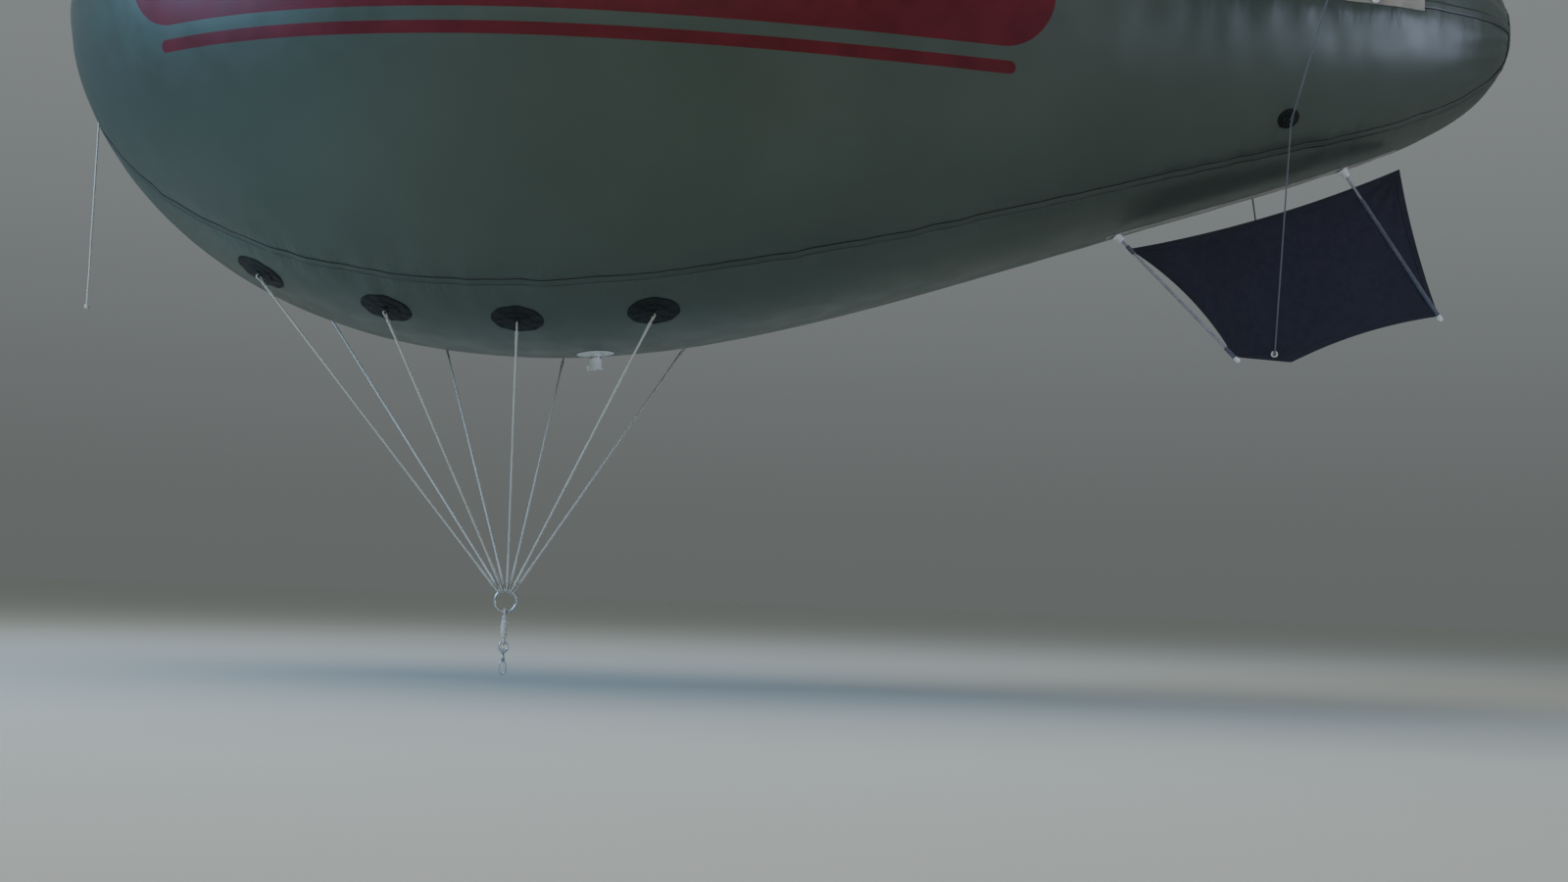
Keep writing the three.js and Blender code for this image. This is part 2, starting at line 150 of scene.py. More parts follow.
SOFT_LIGHTS = [
    # name, place, point it faces, width, spread in degrees, power in watts, colour
    ("overhead", (1.0, 1.5, 6.5), (0, 0, 0), 9.0, 180, 640, (1.0, 1.0, 1.0)),
    ("nose_side", (9.5, 5.0, 2.6), (1.6, 0, 0), 5.0, 80, 320, (0.30, 0.57, 1.0)),
    ("tail_side", (-8.3, 3.3, -0.5), (-2.6, 0.4, -0.1), 3.4, 70, 33, (0.64, 0.65, 1.0)),
    ("port_fill", (-1.0, 11.0, 2.0), (0, 0, -0.8), 7.0, 130, 70, (1.0, 1.0, 0.96)),
]
for name, at, toward, width, spread, power, tint in SOFT_LIGHTS:
    lamp = bpy.data.objects.new(name, bpy.data.lights.new(name, "AREA"))
    bpy.context.scene.collection.objects.link(lamp)
    lamp.location = at
    lamp.rotation_euler = (Vector(toward) - Vector(at)).to_track_quat("-Z", "Y").to_euler()
    lamp.data.size = width
    lamp.data.spread = radians(spread)
    lamp.data.energy = power
    lamp.data.color = tint


# Hull: six gores of coated silver-grey film, welded edge to edge and held round by the gas inside.
# The film is drawn in at each weld and puckers beside it, and the lines pull it out at their patches.
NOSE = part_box("envelope")[1].x
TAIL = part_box("envelope")[0].x
MIDDLE = (NOSE + TAIL) / 2
HALF_LENGTH = (NOSE - TAIL) / 2
GIRTH = 1.4
FULLNESS = (6.01, -0.53, -16.11, 12.5)
GORES = 6
GORE_ANGLE = tau / GORES
RINGS = 560
PANELS, CROWDING = 28, 0.6
SEAM_VALLEY, VALLEY_REACH = 0.007, 0.045
PUCKER, PUCKER_REACH = 0.009, 0.13
SLACK = 0.004
END_FOLD, FOLD_AT, FOLD_REACH = 0.0022, 0.26, 0.12
LOAD_STATIONS = (1.514, 0.974, 0.438, -0.102)
LOAD_ANGLES = {"port": radians(-70), "starboard": radians(-110)}
LOAD_PULL, PULL_REACH, PULL_END = 0.006, 0.17, 0.6


def hull_radius(x):
    """The hull's radius at x, by the curve that was fitted to its outline."""
    s = min(max((NOSE - x) / (NOSE - TAIL), 0), 1)
    curve = sum(c * s ** k for k, c in enumerate(FULLNESS))
    return GIRTH * sqrt(max(s * (1 - s) * curve, 0))


def hull_normal(x, angle):
    """The outward direction at x. The angle is 0 to port, a quarter turn on top and minus that below."""
    slope = (hull_radius(x + 0.001) - hull_radius(x - 0.001)) / 0.002
    return Vector((-slope, cos(angle), sin(angle))).normalized()


def on_hull(x, angle, out=0.0):
    radius = hull_radius(x)
    return Vector((x, radius * cos(angle), radius * sin(angle))) + hull_normal(x, angle) * out


def film_relief(x, angle):
    """How far the film stands out of the plain curve: seams, puckers, slack and the pull of the lines."""
    radius = hull_radius(x)
    full = min(radius / 0.5, 1)
    turn = angle / GORE_ANGLE
    away = abs((turn + 0.5) % 1 - 0.5) * GORE_ANGLE * radius
    weld = floor(turn + 0.5) % GORES
    valley = -SEAM_VALLEY * exp(-((away / VALLEY_REACH) ** 2)) * full
    crease = noise.noise(Vector((x * 12, weld * 7.1, away * 5)))
    broad = noise.noise(Vector((x * 4.5, weld * 3.3 + 50, away * 2)))
    pucker = PUCKER * (crease + 0.7 * broad) * exp(-away / PUCKER_REACH) * full
    slack = SLACK * noise.noise(Vector((x * 1.6, radius * cos(angle) * 2.2, radius * sin(angle) * 2.2)))
    folds = END_FOLD * cos(4 * GORES * angle) * exp(-(((radius - FOLD_AT) / FOLD_REACH) ** 2))
    pull = 0
    for station, line_angle in product(LOAD_STATIONS, LOAD_ANGLES.values()):
        along, across = x - station, (angle - line_angle) * radius
        reach = hypot(along, across)
        if reach < PULL_END:
            rays = 1 + 0.35 * cos(9 * atan2(across, along)) * min(reach / 0.12, 1)
            pull += LOAD_PULL * exp(-((reach / PULL_REACH) ** 2)) * rays
    return valley + pucker + slack + folds + pull


def on_film(x, angle, out=0.0):
    return on_hull(x, angle, film_relief(x, angle) + out)


def maths(tree, operation, *values):
    return node(tree, "Math", dict(enumerate(values)), operation=operation).outputs[0]


def scaled(tree, value, by, plus=0.0):
    return maths(tree, "MULTIPLY_ADD", value, by, plus)


def effect(name, takes, gives):
    """An empty shader group: its tree, its inputs and its output node. All but places are plain numbers."""
    tree = bpy.data.node_groups.new(name, "ShaderNodeTree")
    for in_out, labels in (("INPUT", takes), ("OUTPUT", gives)):
        for label in labels:
            kind = "NodeSocketVector" if label in ("Vector", "Middle") else "NodeSocketFloat"
            tree.interface.new_socket(label, in_out=in_out, socket_type=kind)
    return tree, tree.nodes.new("NodeGroupInput").outputs, tree.nodes.new("NodeGroupOutput")


def use(tree, group, place, **values):
    """The outputs of a shader group that is placed in a material or another group."""
    return node(tree, "Group", {"Vector": place, **values}, node_tree=group).outputs


def bump_of(tree, height, distance, strength):
    ways = {"Height": height, "Distance": distance, "Strength": strength}
    return node(tree, "Bump", ways).outputs["Normal"]


# Mottle is the slow change of tone and gloss over any worn surface, with a fine grain on top of it.
mottle, given, put = effect("mottle", ("Vector", "Scale"), ("Broad", "Fine"))
slow = grain_of(mottle, given["Vector"], given["Scale"], 4.0)
fast = grain_of(mottle, given["Vector"], scaled(mottle, given["Scale"], 9.0), 6.0)
feed(mottle, put, {"Broad": between(mottle, slow, 0.3, 0.7), "Fine": between(mottle, fast, 0.25, 0.75)})

# Stripe is a band with round ends, painted along X at a height Z.
stripe, given, put = effect("stripe", ("Vector", "Middle", "Half Length", "Half Height"), ("Mask",))
offset = node(stripe, "VectorMath", {0: given["Vector"], 1: given["Middle"]}, operation="SUBTRACT")
from_middle = parts_of(stripe, offset.outputs[0])
straight = maths(stripe, "SUBTRACT", given["Half Length"], given["Half Height"])
past_end = maths(stripe, "SUBTRACT", maths(stripe, "ABSOLUTE", from_middle["X"]), straight)
past_end = maths(stripe, "MAXIMUM", past_end, 0.0)
corner = node(stripe, "CombineXYZ", {"X": past_end, "Z": from_middle["Z"]}).outputs[0]
reach_out = node(stripe, "VectorMath", {0: corner}, operation="LENGTH").outputs["Value"]
edge = maths(stripe, "SUBTRACT", reach_out, given["Half Height"])
feed(stripe, put, {"Mask": between(stripe, edge, -0.0015, 0.0015, 1.0, 0.0)})

# Livery is a broad dark-red band between two thin ones, on both sides of the hull.
BAND_MIDDLE = 0.115
BANDS = [
    # height of its middle, half its length and half its height
    (-0.135, 1.74, 0.195),
    (-0.400, 1.60, 0.022),
    (0.130, 1.60, 0.022),
]
livery, given, put = effect("livery", ("Vector",), ("Ink",))
ink = 0.0
for level, half_length, half_height in BANDS:
    shape = {"Middle": (BAND_MIDDLE, 0.0, level), "Half Length": half_length, "Half Height": half_height}
    ink = maths(livery, "MAXIMUM", ink, use(livery, stripe, given["Vector"], **shape)["Mask"])
feed(livery, put, {"Ink": ink})

# Gather is the fine puckering of film beside a weld, too small for the mesh.
gather, given, put = effect("seam_gather", ("Vector",), ("Height",))
place = parts_of(gather, given["Vector"])
turn = maths(gather, "DIVIDE", maths(gather, "ARCTAN2", place["Z"], place["Y"]), GORE_ANGLE)
turn = maths(gather, "ADD", turn, GORES + 0.5)
part_turn = maths(gather, "SUBTRACT", maths(gather, "FRACT", turn), 0.5)
across = node(gather, "CombineXYZ", {"X": place["Y"], "Y": place["Z"]}).outputs[0]
girth = node(gather, "VectorMath", {0: across}, operation="LENGTH").outputs["Value"]
weld_away = scaled(gather, scaled(gather, maths(gather, "ABSOLUTE", part_turn), GORE_ANGLE), girth)
cell = {
    "X": scaled(gather, place["X"], 22.0),
    "Y": scaled(gather, maths(gather, "FLOOR", turn), 3.7),
    "Z": scaled(gather, weld_away, 5.0),
}
creases = grain_of(gather, node(gather, "CombineXYZ", cell).outputs[0], 1.0, 3.0)
feed(gather, put, {"Height": scaled(gather, creases, between(gather, weld_away, 0.0, 0.16, 1.0, 0.0))})

# The film is silver-grey. FILM_TONE and FILM_SHADE are partly that grey and partly painted reflection: they
# are darkened and tinted green like the dark trees and green lawn that the film mirrors.
FILM_TONE = (0.096, 0.119, 0.094)
FILM_SHADE = (0.076, 0.096, 0.075)
RED = (0.125, 0.006, 0.011)
RED_SHADE = (0.088, 0.004, 0.008)

film, tree, surface, here = finish_of("hull_film")
tone = use(tree, mottle, here["Object"], Scale=0.9)
ink = use(tree, livery, here["Object"])["Ink"]
grey = blend_of(tree, tone["Broad"], FILM_SHADE, FILM_TONE)
red = blend_of(tree, tone["Fine"], RED_SHADE, RED)
smears = scaled(tree, tone["Fine"], 0.10, 0.33)
skin = grain_of(tree, here["Object"], 160.0, 2.0)
puckers = use(tree, gather, here["Object"])["Height"]
feed(tree, surface, {
    "Base Color": blend_of(tree, ink, grey, red),
    "Roughness": scaled(tree, ink, 0.08, smears),
    "Metallic": scaled(tree, ink, -0.38, 0.40),
    "Normal": bump_of(tree, scaled(tree, skin, 0.006, puckers), 0.010, 0.7),
    "Specular IOR Level": 0.3,
    "Coat Weight": 0.06,
    "Coat Roughness": 0.25,
})

hull = new_piece(
    bpy.ops.mesh.primitive_uv_sphere_add, "gas_hull", segments=GORES * PANELS, ring_count=RINGS, radius=1
)
for v in hull.data.vertices:
    # The faces are narrower towards the welds, where the film puckers.
    turn = atan2(v.co.y, v.co.x) / GORE_ANGLE
    part = turn % 1
    close = part - CROWDING * sin(tau * part) / tau
    v.co = on_film(MIDDLE + HALF_LENGTH * v.co.z, (floor(turn) + close) * GORE_ANGLE)
bpy.ops.object.shade_smooth()
hull.data.materials.append(film)
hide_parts("envelope")
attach(hull, "balloon")


# Seam tapes and end caps: strips of the same film welded over each seam, and a disc over their ends.
# They lie on the film and follow its puckers, and a dark line along the tapes' edges is painted shadow of
# their welds.
TAPE_HALF = 0.017
TAPE_THICK = 0.0012
TAPE_LIFT = 0.0016
TAPE_PIECES = 360
TAPE_SPAN = 0.48
CAP_RADIUS = {"nose": 0.19, "tail": 0.14}
CAP_THICK = 0.0024

tape_film, tree, surface, here = finish_of("seam_tape_film")
tone = use(tree, mottle, here["Object"], Scale=2.0)
ink = use(tree, livery, here["Object"])["Ink"]
from_edge = maths(tree, "ABSOLUTE", maths(tree, "SUBTRACT", parts_of(tree, here["UV"])["Y"], 0.5))
# Like the film's, these greys are partly the tape's own grey and partly painted reflection, darkened and
# tinted green like the trees and lawn the film mirrors.
grey = blend_of(tree, tone["Broad"], (0.068, 0.087, 0.069), (0.086, 0.108, 0.086))
painted = blend_of(tree, ink, grey, RED_SHADE)
feed(tree, surface, {
    # The near-black strip at each tape's edges is painted shadow of the weld.
    "Base Color": blend_of(tree, between(tree, from_edge, 0.40, 0.48), painted, (0.020, 0.025, 0.022)),
    "Roughness": scaled(tree, tone["Fine"], 0.14, 0.34),
    "Metallic": scaled(tree, ink, -0.38, 0.40),
})


def flat_sheet(name, along, across):
    """A flat sheet from -1 to 1 both ways, cut into faces along X and across it."""
    return new_piece(
        bpy.ops.mesh.primitive_grid_add, name, x_subdivisions=along, y_subdivisions=across, size=2
    )


def thicken(piece, thickness, offset=-1):
    """Gives a sheet its thickness, from its face inwards, or to both sides of it at offset 0."""
    wall = piece.modifiers.new("thickness", "SOLIDIFY")
    wall.thickness = thickness
    wall.offset = offset
    bpy.ops.object.modifier_apply(modifier="thickness")


def face_outward():
    """Turns the faces of the piece in hand outward."""
    bpy.ops.object.mode_set(mode="EDIT")
    bpy.ops.mesh.select_all(action="SELECT")
    bpy.ops.mesh.normals_make_consistent(inside=False)
    bpy.ops.object.mode_set(mode="OBJECT")


def turned(name, outline, steps=48):
    """A solid of revolution about Z, spun from an outline of radius and height drawn point by point."""
    piece = new_piece(bpy.ops.mesh.primitive_plane_add, name, size=0.001)
    bpy.ops.object.mode_set(mode="EDIT")
    bpy.ops.mesh.merge(type="CENTER")
    bpy.ops.transform.translate(value=(outline[0][0], 0, outline[0][1]))
    for (r0, z0), (r1, z1) in zip(outline, outline[1:]):
        bpy.ops.mesh.extrude_region_move(TRANSFORM_OT_translate={"value": (r1 - r0, 0, z1 - z0)})
    bpy.ops.mesh.select_all(action="SELECT")
    bpy.ops.mesh.spin(steps=steps, angle=tau, center=(0, 0, 0), axis=(0, 0, 1))
    bpy.ops.mesh.select_all(action="SELECT")
    bpy.ops.mesh.remove_doubles(threshold=0.00002)
    face_outward()
    bpy.ops.object.shade_smooth_by_angle(angle=radians(40))
    return piece


def disc_outline(radius, thick, rings=7):
    """A thin disc's outline, with a welded ring inside its rim and a rounded edge."""
    top = [(radius * k / rings, thick) for k in range(rings)]
    bead = [(radius * 0.90, thick), (radius * 0.915, thick * 1.25), (radius * 0.93, thick)]
    rim_edge = [(radius * 0.985, thick), (radius, thick * 0.6), (radius, 0.0002)]
    under = [(radius * (rings - k) / rings, 0.0002) for k in range(1, rings + 1)]
    return top + bead + rim_edge + under


def station(radius, end):
    """The x at which the hull has this radius, on the nose's or the tail's side."""
    outer, inner = (NOSE, 0.6) if end == "nose" else (TAIL, -1.0)
    for _ in range(40):
        middle = (outer + inner) / 2
        if hull_radius(middle) < radius:
            outer = middle
        else:
            inner = middle
    return (outer + inner) / 2


for weld in range(GORES):
    tape = flat_sheet(f"seam_tape_{weld + 1}", TAPE_PIECES, 4)
    for v in tape.data.vertices:
        x = MIDDLE + HALF_LENGTH * cos(pi * (0.5 + TAPE_SPAN * v.co.x))
        angle = weld * GORE_ANGLE - TAPE_HALF * v.co.y / max(hull_radius(x), 0.05)
        v.co = on_film(x, angle, TAPE_LIFT)
    thicken(tape, TAPE_THICK)
    bpy.ops.object.shade_smooth()
    tape.data.materials.append(tape_film)
    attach(tape, "balloon")

for end, radius in CAP_RADIUS.items():
    cap = turned(f"{end}_cap", disc_outline(radius, CAP_THICK, 12), 96)
    for v in cap.data.vertices:
        x = station(max(hypot(v.co.x, v.co.y), 0.001), end)
        v.co = on_film(x, atan2(v.co.y, v.co.x), v.co.z + TAPE_LIFT)
    face_outward()
    cap.data.materials.append(film)
    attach(cap, "balloon")


# Load patches: near-black coated discs in two rows on the belly, welded to the film.
# Each carries a smaller disc, a strip of webbing sewn down with a boxed cross, and a loop of cord.
SEAT = 0.0003
PATCH_THICK = 0.003
UPPER_SHARE, UPPER_THICK = 0.58, 0.0016
WEBBING_THICK = 0.0014
LOAD_PATCH_RADIUS = 0.105
LOAD_STRAP_HALF = 0.052
LOOP_RING = 0.012
LOOP_WIRE = 0.0035
LOOP_LIFT = 0.009
GATHER_AT = Vector((0.542, 0, -2.437))
GATHER_RING = 0.046
# Where the lines meet the ring, from the nose backwards, in degrees from its top towards the nose.
LINE_ENDS = {"port": (42, 18, -6, -30), "starboard": (30, 6, -18, -42)}


def film_spot(x, angle, along, across, out=0.0):
    """A place on the film at a step along and a step round the hull from another place."""
    round_way = Vector((0, -sin(angle), cos(angle)))
    fore_way = round_way.cross(hull_normal(x, angle))
    flat = on_hull(x, angle) + fore_way * along + round_way * across
    return on_film(flat.x, atan2(flat.z, flat.y), out)


def lay_on_film(piece, x, angle, out=0.0):
    """Lays a piece that is modelled flat, with its X along the hull, on the film at a place."""
    for v in piece.data.vertices:
        v.co = film_spot(x, angle, v.co.x, v.co.y, v.co.z + out)


def joined(name, pieces, finish=None):
    """One piece of several, which get one finish or keep their own."""
    bpy.ops.object.select_all(action="DESELECT")
    for piece in pieces:
        piece.select_set(True)
        if finish:
            piece.data.materials.append(finish)
    bpy.context.view_layer.objects.active = pieces[0]
    bpy.ops.object.join()
    pieces[0].name = name
    return pieces[0]


def meshed(name, verts, faces):
    """A piece from its own points and faces."""
    mesh = bpy.data.meshes.new(name)
    mesh.from_pydata(verts, [], faces)
    piece = bpy.data.objects.new(name, mesh)
    bpy.context.scene.collection.objects.link(piece)
    return piece


def run_cord(name, path, radii, sides=10, closed=False):
    """A round cord along a path. Its own UV map holds its length in metres and the way round it."""
    path = [Vector(p) for p in path]
    count = len(path)
    radii = radii if isinstance(radii, (list, tuple)) else [radii] * count
    ways = []
    for k in range(count):
        before = path[k - 1 if closed else max(k - 1, 0)]
        after = path[(k + 1) % count if closed else min(k + 1, count - 1)]
        ways.append((after - before).normalized())
    side = ways[0].orthogonal().normalized()
    verts, lengths, length = [], [], 0.0
    for k in range(count):
        if k:
            side = ways[k - 1].rotation_difference(ways[k]) @ side
            length += (path[k] - path[k - 1]).length
        side = (side - ways[k] * side.dot(ways[k])).normalized()
        up = ways[k].cross(side)
        lengths.append(length)
        for j in range(sides):
            a = tau * j / sides
            verts.append(path[k] + (side * cos(a) + up * sin(a)) * radii[k])
    shift = 0
    if closed:
        last = ways[-1].rotation_difference(ways[0]) @ side
        shift = max(range(sides), key=lambda j: (verts[j] - path[0]).dot(last))
        lengths.append(length + (path[0] - path[-1]).length)
    faces, uv = [], []
    for k in range(count if closed else count - 1):
        low, high = k * sides, ((k + 1) % count) * sides
        turn = shift if k == count - 1 else 0
        u0, u1 = lengths[k], lengths[k + 1]
        for j in range(sides):
            i = (j + 1) % sides
            faces.append((low + j, low + i, high + (i + turn) % sides, high + (j + turn) % sides))
            w0, w1 = j / sides, (j + 1) / sides
            uv.append(((u0, w0), (u0, w1), (u1, w1), (u1, w0)))
    if not closed:
        for k, order in ((0, -1), (count - 1, 1)):
            faces.append([k * sides + j for j in range(sides)][::order])
            uv.append([(lengths[k], 0.0)] * sides)
    piece = meshed(name, verts, faces)
    layer = piece.data.uv_layers.new(name="UVMap")
    for face, corners in zip(piece.data.polygons, uv):
        for loop, corner in zip(face.loop_indices, corners):
            layer.data[loop].uv = corner
    bpy.ops.object.select_all(action="DESELECT")
    piece.select_set(True)
    bpy.context.view_layer.objects.active = piece
    bpy.ops.object.shade_smooth_by_angle(angle=radians(50))
    return piece


def arc(centre, first, second, radius, start, end, steps):
    """Points on an arc, from the first direction towards the second, between two angles in degrees."""
    angles = [radians(start + (end - start) * k / steps) for k in range(steps + 1)]
    return [centre + (first * cos(a) + second * sin(a)) * radius for a in angles]


def stitches(name, path, out, pitch, thread, lift):
    """A run of sewn stitches along a path, each a small bead of thread that is pointed at both ends."""
    verts, faces = [], []
    for a, b in zip(path, path[1:]):
        way = b - a
        if way.length < pitch / 4:
            continue
        count = max(round(way.length / pitch), 1)
        step = way / count
        aside = step.normalized().cross(out)
        for k in range(count):
            middle = a + step * (k + 0.5) + out * lift
            first = len(verts)
            verts += [middle - step * 0.38, middle + step * 0.38]
            verts += [middle + toward * thread for toward in (aside, out, -aside, -out)]
            for j in range(4):
                one, two = first + 2 + j, first + 2 + (j + 1) % 4
                faces += [(first, two, one), (first + 1, one, two)]
    return meshed(name, verts, faces)


# Weave is plain cloth: threads that cross over and under, with some of them thicker than others.
weave, given, put = effect("weave", ("Vector", "Threads"), ("Height", "Shade"))
cloth_at = parts_of(weave, given["Vector"])
half_turns = scaled(weave, given["Threads"], pi)
warp = maths(weave, "SINE", scaled(weave, cloth_at["X"], half_turns))
weft = maths(weave, "SINE", scaled(weave, cloth_at["Y"], half_turns))
crossing = scaled(weave, warp, weft)
slubs = grain_of(weave, given["Vector"], 60.0, 4.0)
feed(weave, put, {
    "Height": scaled(weave, crossing, 0.5, 0.5),
    "Shade": scaled(weave, maths(weave, "ABSOLUTE", crossing), 0.45, slubs),
})


def worn_finish(name, scale, dark, light, gloss):
    """A plain finish that is mottled between two tones and a little duller in places."""
    material, tree, surface, here = finish_of(name)
    tone = use(tree, mottle, here["Object"], Scale=scale)
    feed(tree, surface, {
        "Base Color": blend_of(tree, tone["Broad"], dark, light),
        "Roughness": scaled(tree, tone["Fine"], *gloss),
    })
    return material, tree, surface, here


def woven_finish(name, threads, dark, light, relief, roughness=0.75, at="Object", soil=None):
    """Cloth or webbing whose threads lie between two tones, soiled by a scale, a share and a tone."""
    material, tree, surface, here = finish_of(name, Roughness=roughness)
    cloth = use(tree, weave, here[at], Threads=threads)
    colour = blend_of(tree, cloth["Shade"], dark, light)
    if soil:
        scale, share, dirt = soil
        tone = use(tree, mottle, here["Object"], Scale=scale)
        colour = blend_of(tree, scaled(tree, tone["Broad"], share), colour, dirt)
    feed(tree, surface, {"Base Color": colour, "Normal": bump_of(tree, cloth["Height"], *relief)})
    return material, tree, surface, here


patch_cloth, tree, surface, here = worn_finish(
    "patch_cloth", 11.0, (0.0035, 0.0050, 0.0042), (0.009, 0.012, 0.010), (0.18, 0.48)
)
threads = use(tree, weave, here["Object"], Threads=700.0)
feed(tree, surface, {"Normal": bump_of(tree, threads["Height"], 0.0004, 0.4), "Specular IOR Level": 0.3})

webbing = woven_finish(
    "black_webbing", 900.0, (0.005, 0.006, 0.006), (0.018, 0.020, 0.019), (0.0006, 0.7), roughness=0.8
)[0]

sewing_thread, tree, surface, here = finish_of("sewing_thread", Roughness=0.7)
tone = use(tree, mottle, here["Object"], Scale=120.0)
twisted = blend_of(tree, tone["Fine"], (0.050, 0.052, 0.056), (0.095, 0.098, 0.105))
feed(tree, surface, {"Base Color": twisted})


def line_top(x, angle):
    """Where the middle of a patch's loop is, and where a line's eye passes round its top."""
    centre = on_hull(x, angle, SEAT + PATCH_THICK + LOOP_LIFT)
    return centre, centre + hull_normal(x, angle) * LOOP_RING


def gather_point(degrees_round):
    a = radians(degrees_round)
    return GATHER_AT + Vector((sin(a), 0, cos(a))) * GATHER_RING


def loop_tangent(x, angle, toward):
    """The way that a loop's wire runs at its top, square to the line that pulls on it."""
    return hull_normal(x, angle).cross(toward - on_hull(x, angle)).normalized()


def sewn_pad(name, x, angle, radius, strap_half, tangent):
    """A disc, a smaller one on it, a strip of webbing with a boxed cross of stitches, and a loop of cord."""
    base = turned("base", disc_outline(radius, PATCH_THICK), 64)
    lay_on_film(base, x, angle)
    upper = turned("upper", disc_outline(radius * UPPER_SHARE, UPPER_THICK), 48)
    lay_on_film(upper, x, angle, PATCH_THICK)
    strip = flat_sheet("strip", 16, 4)
    half_width = strap_half * 0.36
    for v in strip.data.vertices:
        rise = 0.0035 * exp(-((v.co.x / 0.22) ** 2))
        v.co = (v.co.x * strap_half, v.co.y * half_width, WEBBING_THICK + rise)
    lay_on_film(strip, x, angle, PATCH_THICK + UPPER_THICK)
    thicken(strip, WEBBING_THICK)

    near, far, wide = -0.30, -0.92, 0.8
    boxed_cross = [
        [(far, -wide), (near, -wide), (near, wide), (far, wide), (far, -wide), (near, wide)],
        [(far, wide), (near, -wide)],
    ]
    seam_height = PATCH_THICK + UPPER_THICK + WEBBING_THICK
    normal = hull_normal(x, angle)
    seams = []
    for side, run in product((-1, 1), boxed_cross):
        track = []
        for (u0, w0), (u1, w1) in zip(run, run[1:]):
            for k in range(6):
                u, w = u0 + (u1 - u0) * k / 5, w0 + (w1 - w0) * k / 5
                track.append(film_spot(x, angle, u * side * strap_half, w * half_width, seam_height))
        seams.append(stitches("seam", track, normal, 0.0045, 0.0006, 0.0003))

    ring = arc(line_top(x, angle)[0], normal, tangent, LOOP_RING, 0, 345, 23)
    loop = run_cord("loop", ring, LOOP_WIRE, 10, closed=True)
    parts = [(patch_cloth, (base, upper)), (webbing, (strip, loop)), (sewing_thread, seams)]
    for finish, pieces in parts:
        for piece in pieces:
            piece.data.materials.append(finish)
    return joined(name, [base, upper, strip, *seams, loop])


for row, x in enumerate(LOAD_STATIONS):
    for side, angle in LOAD_ANGLES.items():
        tangent = loop_tangent(x, angle, gather_point(LINE_ENDS[side][row]))
        pad = sewn_pad(f"load_pad_{row + 1}_{side}", x, angle, LOAD_PATCH_RADIUS, LOAD_STRAP_HALF, tangent)
        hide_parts(f"load_patch_{row + 1}_{side}")
        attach(pad, "balloon")


# Suspension lines: eight taut braided cords, spliced at both ends round a patch's loop and the ring.
# A tight whipping of thread closes each splice, and the cord is thicker where its end is tucked in.
LINE_RADIUS = 0.0045
EYE_WIRE = 0.0032
RING_WIRE = 0.005
TOP_SPLICE, LOW_SPLICE = 0.085, 0.140
# The splices' swelling: how far from the cord's end, and how many times its plain radius.
TOP_SWELLING = [(0, 0.75), (0.008, 1.30), (0.05, 1.22), (TOP_SPLICE, 1.0)]
LOW_SWELLING = [(LOW_SPLICE, 1.0), (0.09, 1.30), (0.04, 1.36), (0.008, 1.36), (0, 0.75)]

# Braid is the diamond pattern of plaited cord, along a UV map in metres.
braid, given, put = effect("braid", ("Vector", "Pitch", "Plaits"), ("Height", "Shade"))
cord_at = parts_of(braid, given["Vector"])
along = maths(braid, "DIVIDE", cord_at["X"], given["Pitch"])
round_cord = scaled(braid, cord_at["Y"], given["Plaits"])
rising = maths(braid, "SINE", scaled(braid, maths(braid, "ADD", along, round_cord), tau))
falling = maths(braid, "SINE", scaled(braid, maths(braid, "SUBTRACT", along, round_cord), tau))
lumps = scaled(braid, rising, falling)
fluff = grain_of(braid, given["Vector"], 300.0, 3.0)
feed(braid, put, {
    "Height": scaled(braid, lumps, 0.5, 0.5),
    "Shade": between(braid, scaled(braid, lumps, 0.35, fluff), 0.1, 0.8),
})


def cord_finish(name, dark, light, pitch, plaits):
    material, tree, surface, here = finish_of(name, Roughness=0.75)
    plait = use(tree, braid,here["UV"], Pitch=pitch, Plaits=plaits)
    soil = use(tree, mottle, here["Object"], Scale=5.0)
    clean = blend_of(tree, plait["Shade"], dark, light)
    feed(tree, surface, {
        "Base Color": blend_of(tree, scaled(tree, soil["Broad"], 0.18), clean, [c * 0.6 for c in dark]),
        "Normal": bump_of(tree, plait["Height"], 0.0004, 0.5),
        "Sheen Weight": 0.3,
    })
    return material


line_cord = cord_finish("natural_cord", (0.40, 0.375, 0.30), (0.58, 0.55, 0.45), 0.0055, 4.0)


def eye_path(centre, around, way, reach, tail):
    """A cord's path out of its splice, round a wire that runs along 'around', and back to the splice."""
    aside = around.cross(way).normalized()
    neck = centre + way * tail
    open_half = arc(centre, -way, aside, reach, 115, -115, 18)
    return [neck + aside * 0.0012, *open_half, neck - aside * 0.0012]


def whipping(name, start, way, radius, turns=7, thread=0.0009):
    """Thread wound side by side round a splice."""
    one = way.orthogonal().normalized()
    two = way.cross(one)
    points = []
    for k in range(turns * 10 + 1):
        a = tau * k / 10
        aside = (one * cos(a) + two * sin(a)) * (radius + thread * 0.5)
        points.append(start + way * (thread * 1.9 * k / 10) + aside)
    return run_cord(name, points, thread, 5)


